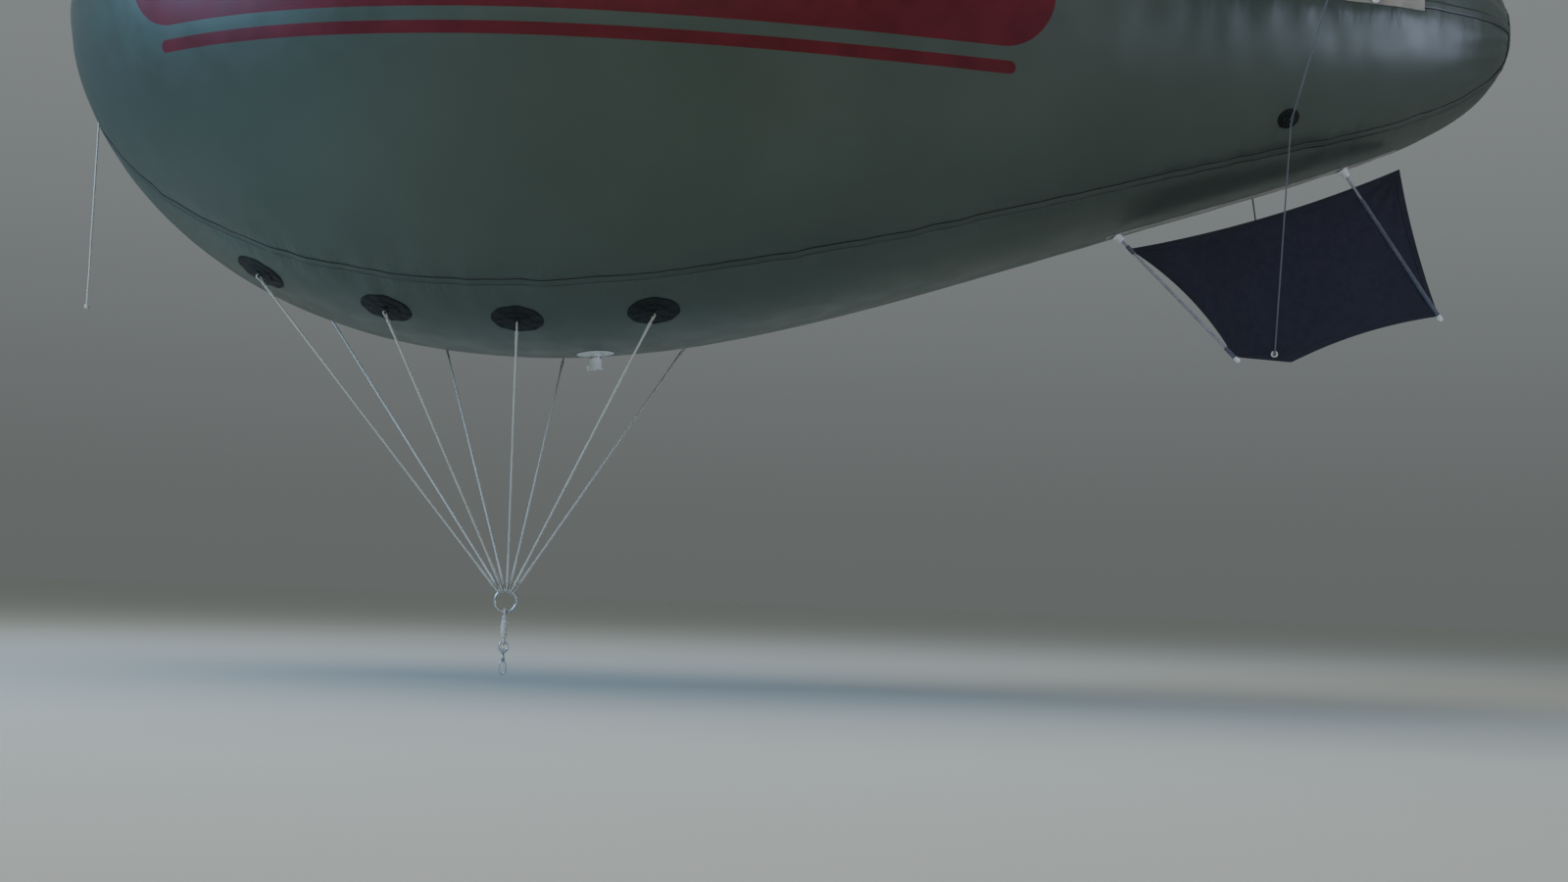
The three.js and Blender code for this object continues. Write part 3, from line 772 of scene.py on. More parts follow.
def spliced_line(name, top, top_around, low, low_around):
    """A taut line with a spliced eye at each end."""
    way = (low - top).normalized()
    top_eye = eye_path(top, top_around, way, LOOP_WIRE + SEAT + EYE_WIRE, 0.032)
    low_eye = eye_path(low, low_around, -way, RING_WIRE + SEAT + EYE_WIRE, 0.036)
    start, end = top + way * 0.026, low - way * 0.030
    span = (end - start).length
    bare = span - TOP_SPLICE - LOW_SPLICE
    count = int(bare / 0.03)
    plain = [(TOP_SPLICE + bare * k / count, 1.0) for k in range(1, count)]
    marks = TOP_SWELLING + plain + [(span - d, k) for d, k in LOW_SWELLING]
    pieces = [
        run_cord("top_eye", top_eye, EYE_WIRE, 8),
        run_cord("low_eye", low_eye, EYE_WIRE, 8),
        run_cord("cord", [start + way * d for d, _ in marks], [LINE_RADIUS * k for _, k in marks], 12),
        whipping("top_whip", start + way * 0.006, way, LINE_RADIUS * 1.28),
        whipping("low_whip", end - way * 0.006, -way, LINE_RADIUS * 1.28),
    ]
    return joined(name, pieces, line_cord)


for row, x in enumerate(LOAD_STATIONS):
    for side, angle in LOAD_ANGLES.items():
        turn_on_ring = radians(LINE_ENDS[side][row])
        low = gather_point(LINE_ENDS[side][row])
        ring_way = Vector((cos(turn_on_ring), 0, -sin(turn_on_ring)))
        tangent = loop_tangent(x, angle, low)
        line = spliced_line(f"load_line_{row + 1}_{side}", line_top(x, angle)[1], tangent, low, ring_way)
        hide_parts(f"suspension_line_{row + 1}_{side}")
        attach(line, "balloon")


# Gathering ring: a round steel ring, bent from rod and closed with one weld, that all the lines meet on.
# The swivel and the hook below it are of the same stainless steel, drawn and polished, worn a little dull.
WELD_SWELL = 0.0009
WELD_HALF = 0.004
WELD_TURN = 2.6
FORE, PORT, UP = Vector((1, 0, 0)), Vector((0, 1, 0)), Vector((0, 0, 1))

# Drawn is the fine lines of drawn or brushed metal and the scuffs across them.
drawn, given, put = effect("drawn_metal", ("Vector", "Scale"), ("Lines", "Scuffs"))
stretched = node(drawn, "Mapping", {"Vector": given["Vector"], "Scale": (1.0, 1.0, 0.06)}).outputs[0]
scuffs = grain_of(drawn, given["Vector"], scaled(drawn, given["Scale"], 0.2), 8.0)
feed(drawn, put, {
    "Lines": grain_of(drawn, stretched, given["Scale"], 4.0),
    "Scuffs": between(drawn, scuffs, 0.52, 0.66),
})

steel, tree, surface, here = finish_of("stainless_steel", Metallic=1.0)
grain = use(tree, drawn, here["Object"], Scale=900.0)
dull = scaled(tree, grain["Scuffs"], 0.22, 0.20)
feed(tree, surface, {
    "Base Color": blend_of(tree, grain["Scuffs"], (0.50, 0.52, 0.53), (0.36, 0.37, 0.38)),
    "Roughness": scaled(tree, grain["Lines"], 0.10, dull),
    "Normal": bump_of(tree, grain["Lines"], 0.0001, 0.3),
})


def set_up(piece, at, z_way, x_way=None):
    """Moves a piece that is modelled at the origin so that its Z runs along one direction."""
    z_way = z_way.normalized()
    y_way = z_way.cross(x_way or z_way.orthogonal()).normalized()
    turn = Matrix((y_way.cross(z_way), y_way, z_way)).transposed().to_4x4()
    piece.data.transform(Matrix.Translation(at) @ turn)
    piece.data.update()
    return piece


def wire_circle(ring, wire, steps):
    """The closed outline of a ring of round wire."""
    turns = [tau * k / steps for k in range(steps)]
    return [(ring + wire * cos(a), wire * sin(a)) for a in turns] + [(ring + wire, 0)]


ring = turned("lines_ring", wire_circle(GATHER_RING, RING_WIRE, 18), 96)
for v in ring.data.vertices:
    spot = Vector((v.co.x, v.co.y, 0)).normalized() * GATHER_RING
    near = exp(-(((atan2(v.co.y, v.co.x) - WELD_TURN) * GATHER_RING / WELD_HALF) ** 2))
    v.co += (v.co - spot).normalized() * WELD_SWELL * near
set_up(ring, GATHER_AT, PORT, FORE)
ring.data.materials.append(steel)
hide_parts("gathering_ring")
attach(ring, "balloon")


# Tether pendant: a short thick piece of white three-strand rope with a spliced eye at each end.
# The lower eye sits on the swivel's bow, and thread is whipped round the rope below and above the eyes.
PENDANT_LENGTH = 0.104
PENDANT_EYE = 0.005
BOW_RING = 0.019
BOW_WIRE = 0.0045
STRANDS = 3
LAY_PITCH = 0.062
STRAND_RADIUS = 0.0079
STRAND_OUT = 0.0070
WHIP_RADIUS = 0.0110


def below(z):
    """A point under the gathering ring's middle, which the whole tether gear hangs in line with."""
    return Vector((GATHER_AT.x, 0, z))


ring_foot = GATHER_AT.z - GATHER_RING
upper_eye = RING_WIRE + SEAT + PENDANT_EYE
bow_eye = BOW_WIRE + SEAT + PENDANT_EYE
bow_top = ring_foot - upper_eye - PENDANT_LENGTH - bow_eye
rope_top = ring_foot - upper_eye - PENDANT_EYE - 0.002
rope_foot = bow_top + bow_eye + PENDANT_EYE + 0.002

white_rope = cord_finish("white_rope", (0.40, 0.38, 0.33), (0.62, 0.59, 0.52), 0.006, 3.0)
rope_pieces = []
for strand in range(STRANDS):
    points, radii = [], []
    for k in range(61):
        share = k / 60
        z = rope_top + (rope_foot - rope_top) * share
        a = tau * ((rope_top - z) / LAY_PITCH + strand / STRANDS)
        close = min(1, 0.55 + 3.5 * max(min(share, 1 - share) - 0.16, 0))
        points.append(below(z) + Vector((cos(a), sin(a), 0)) * STRAND_OUT * close)
        radii.append(STRAND_RADIUS * (0.75 + 0.25 * close))
    rope_pieces.append(run_cord("strand", points, radii, 14))
for centre, reach, way in ((ring_foot, upper_eye, -UP), (bow_top, bow_eye, UP)):
    rope_pieces.append(run_cord("eye", eye_path(below(centre), FORE, way, reach, 0.024), PENDANT_EYE, 12))
for z, way in ((rope_top - 0.003, -UP), (rope_foot + 0.003, UP)):
    rope_pieces.append(whipping("whip", below(z), way, WHIP_RADIUS, 6, 0.0011))
pendant = joined("rope_pendant", rope_pieces, white_rope)
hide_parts("tether_pendant")
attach(pendant, "balloon")


# Swivel: a forged bow whose bored boss holds a headed spindle, so that the tether's twist runs out.
# The spindle turns in the boss and ends in an eye that the snap hook hangs from.
BOSS = {"radius": 0.011, "height": 0.014, "bore": 0.0045, "chamfer": 0.0012}
BOW_STEPS = 60
SPINDLE = {"radius": 0.004, "head": 0.0075, "head_height": 0.004, "eye_ring": 0.012, "eye_wire": 0.0035}
COLLAR = 0.003


def bent_rod(name, path, radii, sides=16):
    """A rod bent in the plane of X and Z: a disc is extruded from point to point and turned to its way."""
    ahead = [b - a for a, b in zip(path, path[1:])]
    ways = [ahead[0], *(a.normalized() + b.normalized() for a, b in zip(ahead, ahead[1:])), ahead[-1]]
    headings = [atan2(way.x, way.z) for way in ways]
    piece = new_piece(
        bpy.ops.mesh.primitive_circle_add, name, vertices=sides, radius=radii[0], fill_type="NGON"
    )
    bpy.ops.object.mode_set(mode="EDIT")
    bpy.ops.transform.rotate(value=-headings[0], orient_axis="Y", center_override=(0, 0, 0))
    bpy.ops.transform.translate(value=path[0])
    for k in range(1, len(path)):
        bpy.ops.mesh.extrude_region_move(TRANSFORM_OT_translate={"value": path[k] - path[k - 1]})
        bend = (headings[k] - headings[k - 1] + pi) % tau - pi
        bpy.ops.transform.rotate(value=-bend, orient_axis="Y", center_override=path[k])
        bpy.ops.transform.resize(value=[radii[k] / radii[k - 1]] * 3, center_override=path[k])
    face_outward()
    bpy.ops.object.shade_smooth_by_angle(angle=radians(50))
    return piece


bow_centre = bow_top - BOW_RING
boss_middle = bow_centre - BOW_RING
boss_top = boss_middle + BOSS["height"] / 2
boss_foot = boss_middle - BOSS["height"] / 2
bow_path = arc(below(bow_centre), -UP, FORE, BOW_RING, 24, 336, BOW_STEPS)
from_end = [min(k, BOW_STEPS - k) for k in range(BOW_STEPS + 1)]
bow = bent_rod("bow_wire", bow_path, [BOW_WIRE * (1 + 0.45 * exp(-(k / 7) ** 2)) for k in from_end])
r, bore, chamfer = BOSS["radius"], BOSS["bore"], BOSS["chamfer"]
boss = turned(
    "boss",
    [
        (bore, boss_foot + chamfer), (bore + chamfer, boss_foot), (r - chamfer, boss_foot),
        (r, boss_foot + chamfer), (r, boss_top - chamfer), (r - chamfer, boss_top),
        (bore + chamfer, boss_top), (bore, boss_top - chamfer), (bore, boss_foot + chamfer),
    ],
)
boss.data.transform(Matrix.Translation(below(0)))
bow = joined("forged_bow", [bow, boss], steel)
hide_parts("swivel_bow")
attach(bow, "balloon")

head_foot = boss_top + SEAT
head_top = head_foot + SPINDLE["head_height"]
collar_top = boss_foot - SEAT
collar_foot = collar_top - COLLAR
eye_centre = collar_foot - 0.003 - SPINDLE["eye_ring"]
r, head = SPINDLE["radius"], SPINDLE["head"]
spindle = turned(
    "spindle",
    [
        (0, head_top), (head * 0.55, head_top), (head * 0.9, head_foot + SPINDLE["head_height"] * 0.7),
        (head, head_foot + SPINDLE["head_height"] * 0.35), (head, head_foot), (r, head_foot),
        (r, collar_top), (head - 0.0006, collar_top), (head, collar_top - 0.0006),
        (head, collar_foot + 0.0006), (head - 0.0006, collar_foot), (r + 0.001, collar_foot),
        (r, collar_foot - 0.003), (r * 0.6, collar_foot - 0.006), (0, collar_foot - 0.006),
    ],
)
spindle.data.transform(Matrix.Translation(below(0)))
spindle_eye = turned("spindle_eye", wire_circle(SPINDLE["eye_ring"], SPINDLE["eye_wire"], 16), 56)
set_up(spindle_eye, below(eye_centre), FORE, PORT)
spindle = joined("turning_spindle", [spindle, spindle_eye], steel)
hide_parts("swivel_spindle")
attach(spindle, "swivel")


# Snap hook: one bent rod with an eye at the top and a sprung gate that closes its mouth.
# The tether's eye lies in its foot, where the rod has a small flat.
HOOK = {"eye": 0.0074, "wire": 0.0036, "eye_wire": 0.003, "width": 0.026, "height": 0.052}
LAND, LAND_HALF_ANGLE = 0.001, radians(20)
TIP_SWELL, TIP_FLATTENING = 1.04, 0.96
GATE = {"pin": 0.0016, "shoulder": 0.0024, "radius": 0.003, "into_tip": 0.0012, "edge": 0.0008}
SPRING = {"groove": 0.0022, "ridge": 0.0029, "start": 0.003, "pitch": 0.0012}

hook_pivot = eye_centre - SPINDLE["eye_ring"]
hook_top = hook_pivot - HOOK["eye"]
hook_foot = hook_top - HOOK["height"]
half = HOOK["width"] / 2
mouth_top = hook_top - 0.009
mouth_foot = hook_top - HOOK["height"] / 2 - 0.008


def at_hook(x, z):
    return Vector((GATHER_AT.x + x, 0, z))


bowl = at_hook(0, hook_foot + half)
over = arc(at_hook(0, hook_top - half), FORE, UP, half, 18, 180, 27)
under = arc(bowl, -FORE, -UP, half, 0, 180, 30)
hook_path = [*over, *under, at_hook(half, mouth_foot)]
rod = bent_rod("hook_rod", hook_path, [HOOK["wire"]] * len(hook_path))
for v in rod.data.vertices:
    if atan2(abs(v.co.x - bowl.x), bowl.z - v.co.z) < LAND_HALF_ANGLE:
        v.co.z = min(v.co.z, hook_foot + HOOK["wire"] - LAND)
tips = []
for z in (mouth_top, mouth_foot):
    tip_radius = HOOK["wire"] * TIP_SWELL
    tip = new_piece(
        bpy.ops.mesh.primitive_uv_sphere_add, "tip", segments=20, ring_count=14, radius=tip_radius
    )
    tip.data.transform(Matrix.Translation(at_hook(half, z)) @ Matrix.Diagonal((1, 1, TIP_FLATTENING, 1)))
    bpy.ops.object.shade_smooth()
    tips.append(tip)
hook_eye = turned("hook_eye", wire_circle(HOOK["eye"], HOOK["eye_wire"], 14), 48)
set_up(hook_eye, below(hook_pivot), PORT, FORE)
hook = joined("bent_hook", [rod, *tips, hook_eye], steel)
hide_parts("snap_hook")
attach(hook, "hook")

gate_foot = mouth_foot + HOOK["wire"] + SEAT
gate_long = mouth_top - HOOK["wire"] - SEAT - gate_foot
r, pin, shoulder, into, edge = (GATE[key] for key in ("radius", "pin", "shoulder", "into_tip", "edge"))
coils = [(SPRING["groove" if k % 2 else "ridge"], SPRING["start"] + SPRING["pitch"] * k) for k in range(6)]
gate = turned(
    "gate_rod",
    [
        (0, -into), (pin, -into), (pin, 0), (shoulder, 0), (r, edge), *coils, (r, gate_long - edge),
        (shoulder, gate_long), (pin, gate_long), (pin, gate_long + into), (0, gate_long + into),
    ],
    28,
)
gate.data.transform(Matrix.Translation(at_hook(half, gate_foot)))
gate.data.materials.append(steel)
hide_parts("hook_gate")
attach(gate, "hook")


# Tail fins: four panels of navy cloth, each stretched between a front and a rear pole.
# The cloth is bound at its edges, has a sleeve for the rear pole and pockets for the front pole's ends.
FIN_ANGLES = {"lower": radians(-90), "starboard": pi, "upper": radians(90), "port": 0.0}
FRONT_ROOT, FRONT_TIP = Vector((-2.003, 0.898)), Vector((-2.437, 1.336))
LOW_TIP = Vector((-2.668, 1.354))
REAR_TIP, REAR_ROOT = Vector((-3.255, 1.150)), Vector((-3.094, 0.545))
ROOT_SAG, FRONT_SAG, TIP_SAG, REAR_SAG = 0.034, 0.038, 0.026, 0.014
FRONT_SHARE = 0.26
MEAN_CHORD, MEAN_SPAN = 1.05, 0.62
CLOTH_THICK = 0.0014
CLOTH_ALONG, CLOTH_OUT = 72, 56
BELLY, CREASE, RIPPLE = 0.007, 0.0034, 0.0012
BINDING_WIDTH, BINDING_THICK = 0.024, 0.0012
EDGE_U, EDGE_V = BINDING_WIDTH / MEAN_CHORD, BINDING_WIDTH / MEAN_SPAN
POLE_RADIUS = 0.006
SLEEVE_RADIUS = 0.0095
# Each pole: where its foot stands on the hull, and its tip as x and distance from the axis.
FRONT_POLE = (-1.950, Vector((-2.452, 1.351)))
REAR_POLE = (-2.863, Vector((-3.262, 1.161)))
STRAP = {"front": -1.905, "length": 1.17, "half_width": 0.028, "thick": 0.0032, "lift": 0.0036}
# Outlines of a pole's socket on the hull and of its tip's cap, as radius and height.
SOCKET = [
    (0, 0), (0.026, 0), (0.026, 0.003), (0.018, 0.006), (0.017, 0.012), (0.017, 0.030), (0.0155, 0.034),
    (0.0075, 0.034), (0.0075, 0.024), (0, 0.024),
]
TIP_CAP = [
    (0, 0.011), (0.004, 0.0103), (0.0075, 0.008), (0.010, 0.0045), (0.011, 0), (0.0105, -0.006),
    (0.009, -0.016), (0.0065, -0.017), (0.0062, -0.008), (0, -0.008),
]


def drawn_edge(a, b, sag):
    """An edge of the fin from a to b, drawn in towards the middle of the cloth by a sag."""
    way = b - a
    inward = Vector((-way.y, way.x)).normalized()
    return lambda t: a + way * t + inward * (4 * sag * t * (1 - t))


front_edge = drawn_edge(FRONT_ROOT, FRONT_TIP, FRONT_SAG)
outer_edge = drawn_edge(LOW_TIP, REAR_TIP, TIP_SAG)
rear_edge = drawn_edge(REAR_TIP, REAR_ROOT, REAR_SAG)
root_edge = drawn_edge(REAR_ROOT, FRONT_ROOT, ROOT_SAG)


def tip_edge(u):
    """The outer edge from front to rear: a short straight stretch to the low tip, then a long sagged one."""
    if u < FRONT_SHARE:
        return FRONT_TIP.lerp(LOW_TIP, u / FRONT_SHARE)
    return outer_edge((u - FRONT_SHARE) / (1 - FRONT_SHARE))


def cloth_point(u, v):
    """A point of the cloth, u from front to rear and v from root to tip, as x and distance from the axis."""
    root, tip = root_edge(1 - u), tip_edge(u)
    front, rear = front_edge(v), rear_edge(1 - v)
    corners = (FRONT_ROOT * (1 - u) + REAR_ROOT * u) * (1 - v) + (FRONT_TIP * (1 - u) + REAR_TIP * u) * v
    return root * (1 - v) + tip * v + front * (1 - u) + rear * u - corners


def cloth_billow(u, v, seed):
    """How far the cloth stands out of its plane: a slight belly, and creases that run from its corners."""
    belly = BELLY * sin(pi * u) * sin(pi * v) * cos(pi * (u - 0.5) + seed)
    at = cloth_point(u, v)
    creases = 0
    corners = ((FRONT_ROOT, 0.7), (FRONT_TIP, 1.0), (LOW_TIP, 0.6), (REAR_TIP, 1.0), (REAR_ROOT, 0.8))
    for corner, strength in corners:
        away = at - corner
        fan = sin(atan2(away.y, away.x) * 17 + seed)
        creases += CREASE * strength * fan * exp(-away.length / 0.22) * min(away.length / 0.06, 1)
    return belly + creases + RIPPLE * noise.noise(Vector((at.x * 6, at.y * 6, seed * 9)))


def fin_point(angle, flat, out=0.0):
    """A point of a fin's own plane, x and distance from the axis, in the row frame."""
    x, r = flat
    return Vector((x, r * cos(angle) - out * sin(angle), r * sin(angle) + out * cos(angle)))


def on_cloth(angle, seed, u, v, out=0.0):
    return fin_point(angle, cloth_point(u, v), cloth_billow(u, v, seed) + out)


fin_cloth, tree, surface, here = woven_finish(
    "navy_cloth", 620.0, (0.0055, 0.0060, 0.0140), (0.0190, 0.0195, 0.0400), (0.0005, 0.45),
    at="UV", soil=(3.0, 0.45, (0.0085, 0.0085, 0.0170)),
)
tone = use(tree, mottle, here["Object"], Scale=3.0)
feed(tree, surface, {
    "Roughness": scaled(tree, tone["Fine"], 0.16, 0.58),
    "Specular IOR Level": 0.35,
    "Sheen Weight": 0.08,
})

binding_tape = woven_finish(
    "navy_binding", 900.0, (0.0040, 0.0042, 0.0095), (0.0125, 0.0125, 0.0240), (0.0006, 0.6)
)[0]
sleeve_tape = woven_finish(
    "grey_sleeve_tape", 800.0, (0.070, 0.070, 0.090), (0.150, 0.148, 0.180), (0.0006, 0.6),
    soil=(14.0, 0.4, (0.060, 0.060, 0.074)),
)[0]
# The webbing is off-white. These tones are darkened towards beige as painted shade, for the shadow the
# straps lie in along the fins' roots. The soil tone is real dirt.
strap_web = woven_finish(
    "pale_webbing", 500.0, (0.250, 0.240, 0.195), (0.420, 0.405, 0.335), (0.0008, 0.7),
    roughness=0.8, soil=(9.0, 0.5, (0.150, 0.145, 0.115)),
)[0]
pole_grey = worn_finish("grey_glass_fibre", 20.0, (0.24, 0.235, 0.26), (0.34, 0.33, 0.36), (0.2, 0.28))[0]

white_plastic, tree, surface, here = worn_finish(
    "white_plastic", 30.0, (0.66, 0.67, 0.65), (0.78, 0.79, 0.77), (0.18, 0.36)
)
feed(tree, surface, {"Normal": bump_of(tree, grain_of(tree, here["Object"], 1400.0, 2.0), 0.0002, 0.3)})


def cloth_panel(name, angle, seed, u_range, v_range, divisions, thick):
    """A panel of cloth over a part of the fin, with its UV map in metres."""
    panel = flat_sheet(name, *divisions)
    for v in panel.data.vertices:
        u = u_range[0] + (u_range[1] - u_range[0]) * (v.co.x + 1) / 2
        w = v_range[0] + (v_range[1] - v_range[0]) * (v.co.y + 1) / 2
        v.co = on_cloth(angle, seed, u, w)
    layer = panel.data.uv_layers[0].data
    for loop in panel.data.loops:
        co = panel.data.vertices[loop.vertex_index].co
        layer[loop.index].uv = (co.x, hypot(co.y, co.z))
    thicken(panel, thick, 0)
    bpy.ops.object.shade_smooth_by_angle(angle=radians(60))
    return panel


for i, j in product(range(CLOTH_ALONG), range(CLOTH_OUT)):
    u0, u1, v0, v1 = i / CLOTH_ALONG, (i + 1) / CLOTH_ALONG, j / CLOTH_OUT, (j + 1) / CLOTH_OUT
    a, b, c, d = cloth_point(u0, v0), cloth_point(u1, v0), cloth_point(u1, v1), cloth_point(u0, v1)

BINDINGS = [
    # u from and to, v from and to, divisions along and out
    ((0, 1), (0, EDGE_V), (CLOTH_ALONG, 3)),
    ((0, 1), (1 - EDGE_V, 1), (CLOTH_ALONG, 3)),
    ((0, EDGE_U), (0, 1), (3, CLOTH_OUT)),
    ((1 - EDGE_U, 1), (0, 1), (3, CLOTH_OUT)),
]
CORNERS = [
    # u and v of the doubled cloth at a corner, and its divisions
    ((0, 0.095), (0, 0.150), (8, 8)),
    ((0, 0.085), (0.84, 1), (8, 8)),
    ((0.895, 1), (0.83, 1), (8, 8)),
    ((0.905, 1), (0, 0.150), (8, 8)),
    ((FRONT_SHARE - 0.06, FRONT_SHARE + 0.06), (0.90, 1), (9, 6)),
]
for index, (name, angle) in enumerate(FIN_ANGLES.items()):
    seed = 1.7 * index
    faces = (CLOTH_ALONG, CLOTH_OUT)
    cloth = cloth_panel(f"{name}_fin_cloth", angle, seed, (0, 1), (0, 1), faces, CLOTH_THICK)
    cloth.data.materials.append(fin_cloth)
    front, rear = [(on_hull(x, angle), fin_point(angle, tip)) for x, tip in (FRONT_POLE, REAR_POLE)]

    trims = []
    for layers, spots in ((1, CORNERS), (2, BINDINGS)):
        for number, (u_range, v_range, divisions) in enumerate(spots):
            thick = CLOTH_THICK + BINDING_THICK * layers + 0.00015 * number
            trims.append(cloth_panel("trim", angle, seed, u_range, v_range, divisions, thick))
            trims[-1].data.materials.append(binding_tape)
    for inset in (0.2, 0.85):
        u, w = EDGE_U * inset, EDGE_V * inset
        corners = [(u, w), (1 - u, w), (1 - u, 1 - w), (u, 1 - w), (u, w)]
        lap = [corners[0]]
        for (u0, w0), (u1, w1), steps in zip(corners, corners[1:], (40, 30, 40, 30)):
            lap += [(u0 + (u1 - u0) * k / steps, w0 + (w1 - w0) * k / steps) for k in range(1, steps + 1)]
        for face in (-1, 1):
            raised = face * (CLOTH_THICK / 2 + BINDING_THICK)
            points = [on_cloth(angle, seed, a, b, raised) for a, b in lap]
            trims.append(stitches("row", points, fin_point(angle, (0, 0), face), 0.006, 0.0005, 0.0))
            trims[-1].data.materials.append(sewing_thread)
    trim = joined(f"{name}_fin_binding", trims)

    sleeves = []
    for (foot, tip), start, end in ((rear, 0.2, 0.975), (front, 0.9, 0.975), (front, 0.09, 0.15)):
        way = tip - foot
        count = 40 if end - start > 0.5 else 8
        sides = []
        for k in range(count + 1):
            wrinkle = 0.93 + 0.05 * sin(k * 2.4 + seed) + 0.02 * sin(k * 5.1)
            sides.append((SLEEVE_RADIUS * wrinkle, way.length * (start + (end - start) * k / count)))
        mouth = POLE_RADIUS + SEAT
        low, high = sides[0][1], sides[-1][1]
        outline = [(mouth, low), *sides, (mouth, high), (mouth, low)]
        sleeves.append(set_up(turned("sleeve", outline, 20), foot, way))
    sleeve = joined(f"{name}_fin_sleeves", sleeves, sleeve_tape)

    poles = []
    for foot, tip in (front, rear):
        long = (tip - foot).length
        outline = [(0, 0), *((POLE_RADIUS, long * k / 24) for k in range(25)), (0, long)]
        poles.append(set_up(turned("pole", outline, 24), foot, tip - foot))
    pole = joined(f"{name}_fin_poles", poles, pole_grey)

    strap = flat_sheet(f"{name}_fin_strap", 60, 6)
    for v in strap.data.vertices:
        x = STRAP["front"] - STRAP["length"] * (v.co.x + 1) / 2
        crown = STRAP["lift"] + 0.0005 * cos(pi * v.co.y)
        v.co = on_film(x, angle + STRAP["half_width"] * v.co.y / hull_radius(x), crown)
    thicken(strap, STRAP["thick"])
    face_outward()
    strap.data.materials.append(strap_web)

    fittings = []
    for foot, tip in (front, rear):
        way = (tip - foot).normalized()
        fittings.append(set_up(turned("socket", SOCKET, 40), foot + way * 0.002, way))
        fittings.append(set_up(turned("pole_cap", TIP_CAP, 32), tip, way))
    fitting = joined(f"{name}_fin_fittings", fittings, white_plastic)

    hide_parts(f"fin_{name}_membrane")
    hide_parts(f"fin_{name}_frame")
    finishes = (
        (cloth, "fin_cloth"), (trim, "fin_cloth"), (sleeve, "fin_cloth"), (pole, "pole"), (strap, "cord"),
        (fitting, "white_plastic"),
    )
    for piece, finish in finishes:
        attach(piece, "balloon")


# Fin guys: thin cords from a small patch on the hull between two fins to an eyelet in each fin.
# A stopper knot on the near side of the cloth holds each of them.
GUY_STATION = -2.560
GUY_PATCH_RADIUS = 0.044
GUY_STRAP_HALF = 0.026
GUY_RADIUS = 0.003
GUY_FOOT = Vector((-2.600, 1.322))
GUY_GAP = 0.0036
GUY_KNOT = 0.0065
GUY_PATCH_DEGREES = {"lower_port": -45, "upper_port": 45, "upper_starboard": 135, "lower_starboard": 225}
# The outline of a rolled eyelet, as radius and height.
EYELET = [
    (0.006, -0.003), (0.014, -0.003), (0.015, -0.002), (0.015, 0.002), (0.014, 0.003), (0.006, 0.003),
    (0.005, 0.0015), (0.005, -0.0015), (0.006, -0.003),
]

for name, angle in FIN_ANGLES.items():
    eyelet = turned(f"{name}_fin_eyelet", EYELET, 36)
    set_up(eyelet, fin_point(angle, GUY_FOOT), fin_point(angle, (0, 0), 1.0))
    eyelet.data.materials.append(steel)
    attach(eyelet, "balloon")

guy_cord = cord_finish("grey_cord", (0.085, 0.088, 0.092), (0.165, 0.170, 0.175), 0.0045, 4.0)
for name, patch_degrees in GUY_PATCH_DEGREES.items():
    angle = radians(patch_degrees)
    normal = hull_normal(GUY_STATION, angle)
    along = (FORE - normal * normal.x).normalized()
    pad = sewn_pad(f"guy_pad_{name}", GUY_STATION, angle, GUY_PATCH_RADIUS, GUY_STRAP_HALF, along)
    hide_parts(f"guy_patch_{name}")
    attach(pad, "balloon")

    top = line_top(GUY_STATION, angle)[1]
    cords = []
    for toward_patch in (1, -1):
        fin_angle = radians(patch_degrees - 45 * toward_patch)
        plane = fin_point(fin_angle, (0, 0), 1.0)
        end = fin_point(fin_angle, GUY_FOOT) + plane * toward_patch * (GUY_GAP + GUY_KNOT)
        way = (end - top).normalized()
        eye = eye_path(top, along, way, LOOP_WIRE + SEAT + GUY_RADIUS, 0.022)
        guy_path = [top + way * 0.018] + [(top + way * 0.06).lerp(end, k / 24) for k in range(25)]
        aside = way.orthogonal().normalized()
        knot = arc(end, aside, way.cross(aside), 0.0036, 0, 700, 40)
        knot = [p + way * (0.0055 * (k / 40 - 0.5)) for k, p in enumerate(knot)]
        cords += [
            run_cord("guy_eye", eye, GUY_RADIUS * 0.9, 8),
            run_cord("guy", guy_path, [GUY_RADIUS * 1.15] + [GUY_RADIUS] * 25, 10),
            whipping("guy_whip", top + way * 0.022, way, GUY_RADIUS * 1.15, 6, 0.0007),
            run_cord("guy_knot", knot, GUY_RADIUS, 8),
        ]
    guys = joined(f"guy_cords_{name}", cords, guy_cord)
    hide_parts(f"fin_guys_{name}")
    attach(guys, "balloon")


# Nose line: a patch under the nose like the load patches, with a short handling line that hangs free.
# The line ends in a stopper knot, so that a hand can hold it.
NOSE_STATION = 2.408
NOSE_PATCH_RADIUS = 0.062
NOSE_STRAP_HALF = 0.036
NOSE_LINE_RADIUS = 0.004
NOSE_LINE_LENGTH = 0.850
NOSE_EYE_WIRE = 0.003
BELOW = radians(-90)

nose_pad = sewn_pad("nose_pad", NOSE_STATION, BELOW, NOSE_PATCH_RADIUS, NOSE_STRAP_HALF, PORT)
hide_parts("nose_patch")
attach(nose_pad, "balloon")

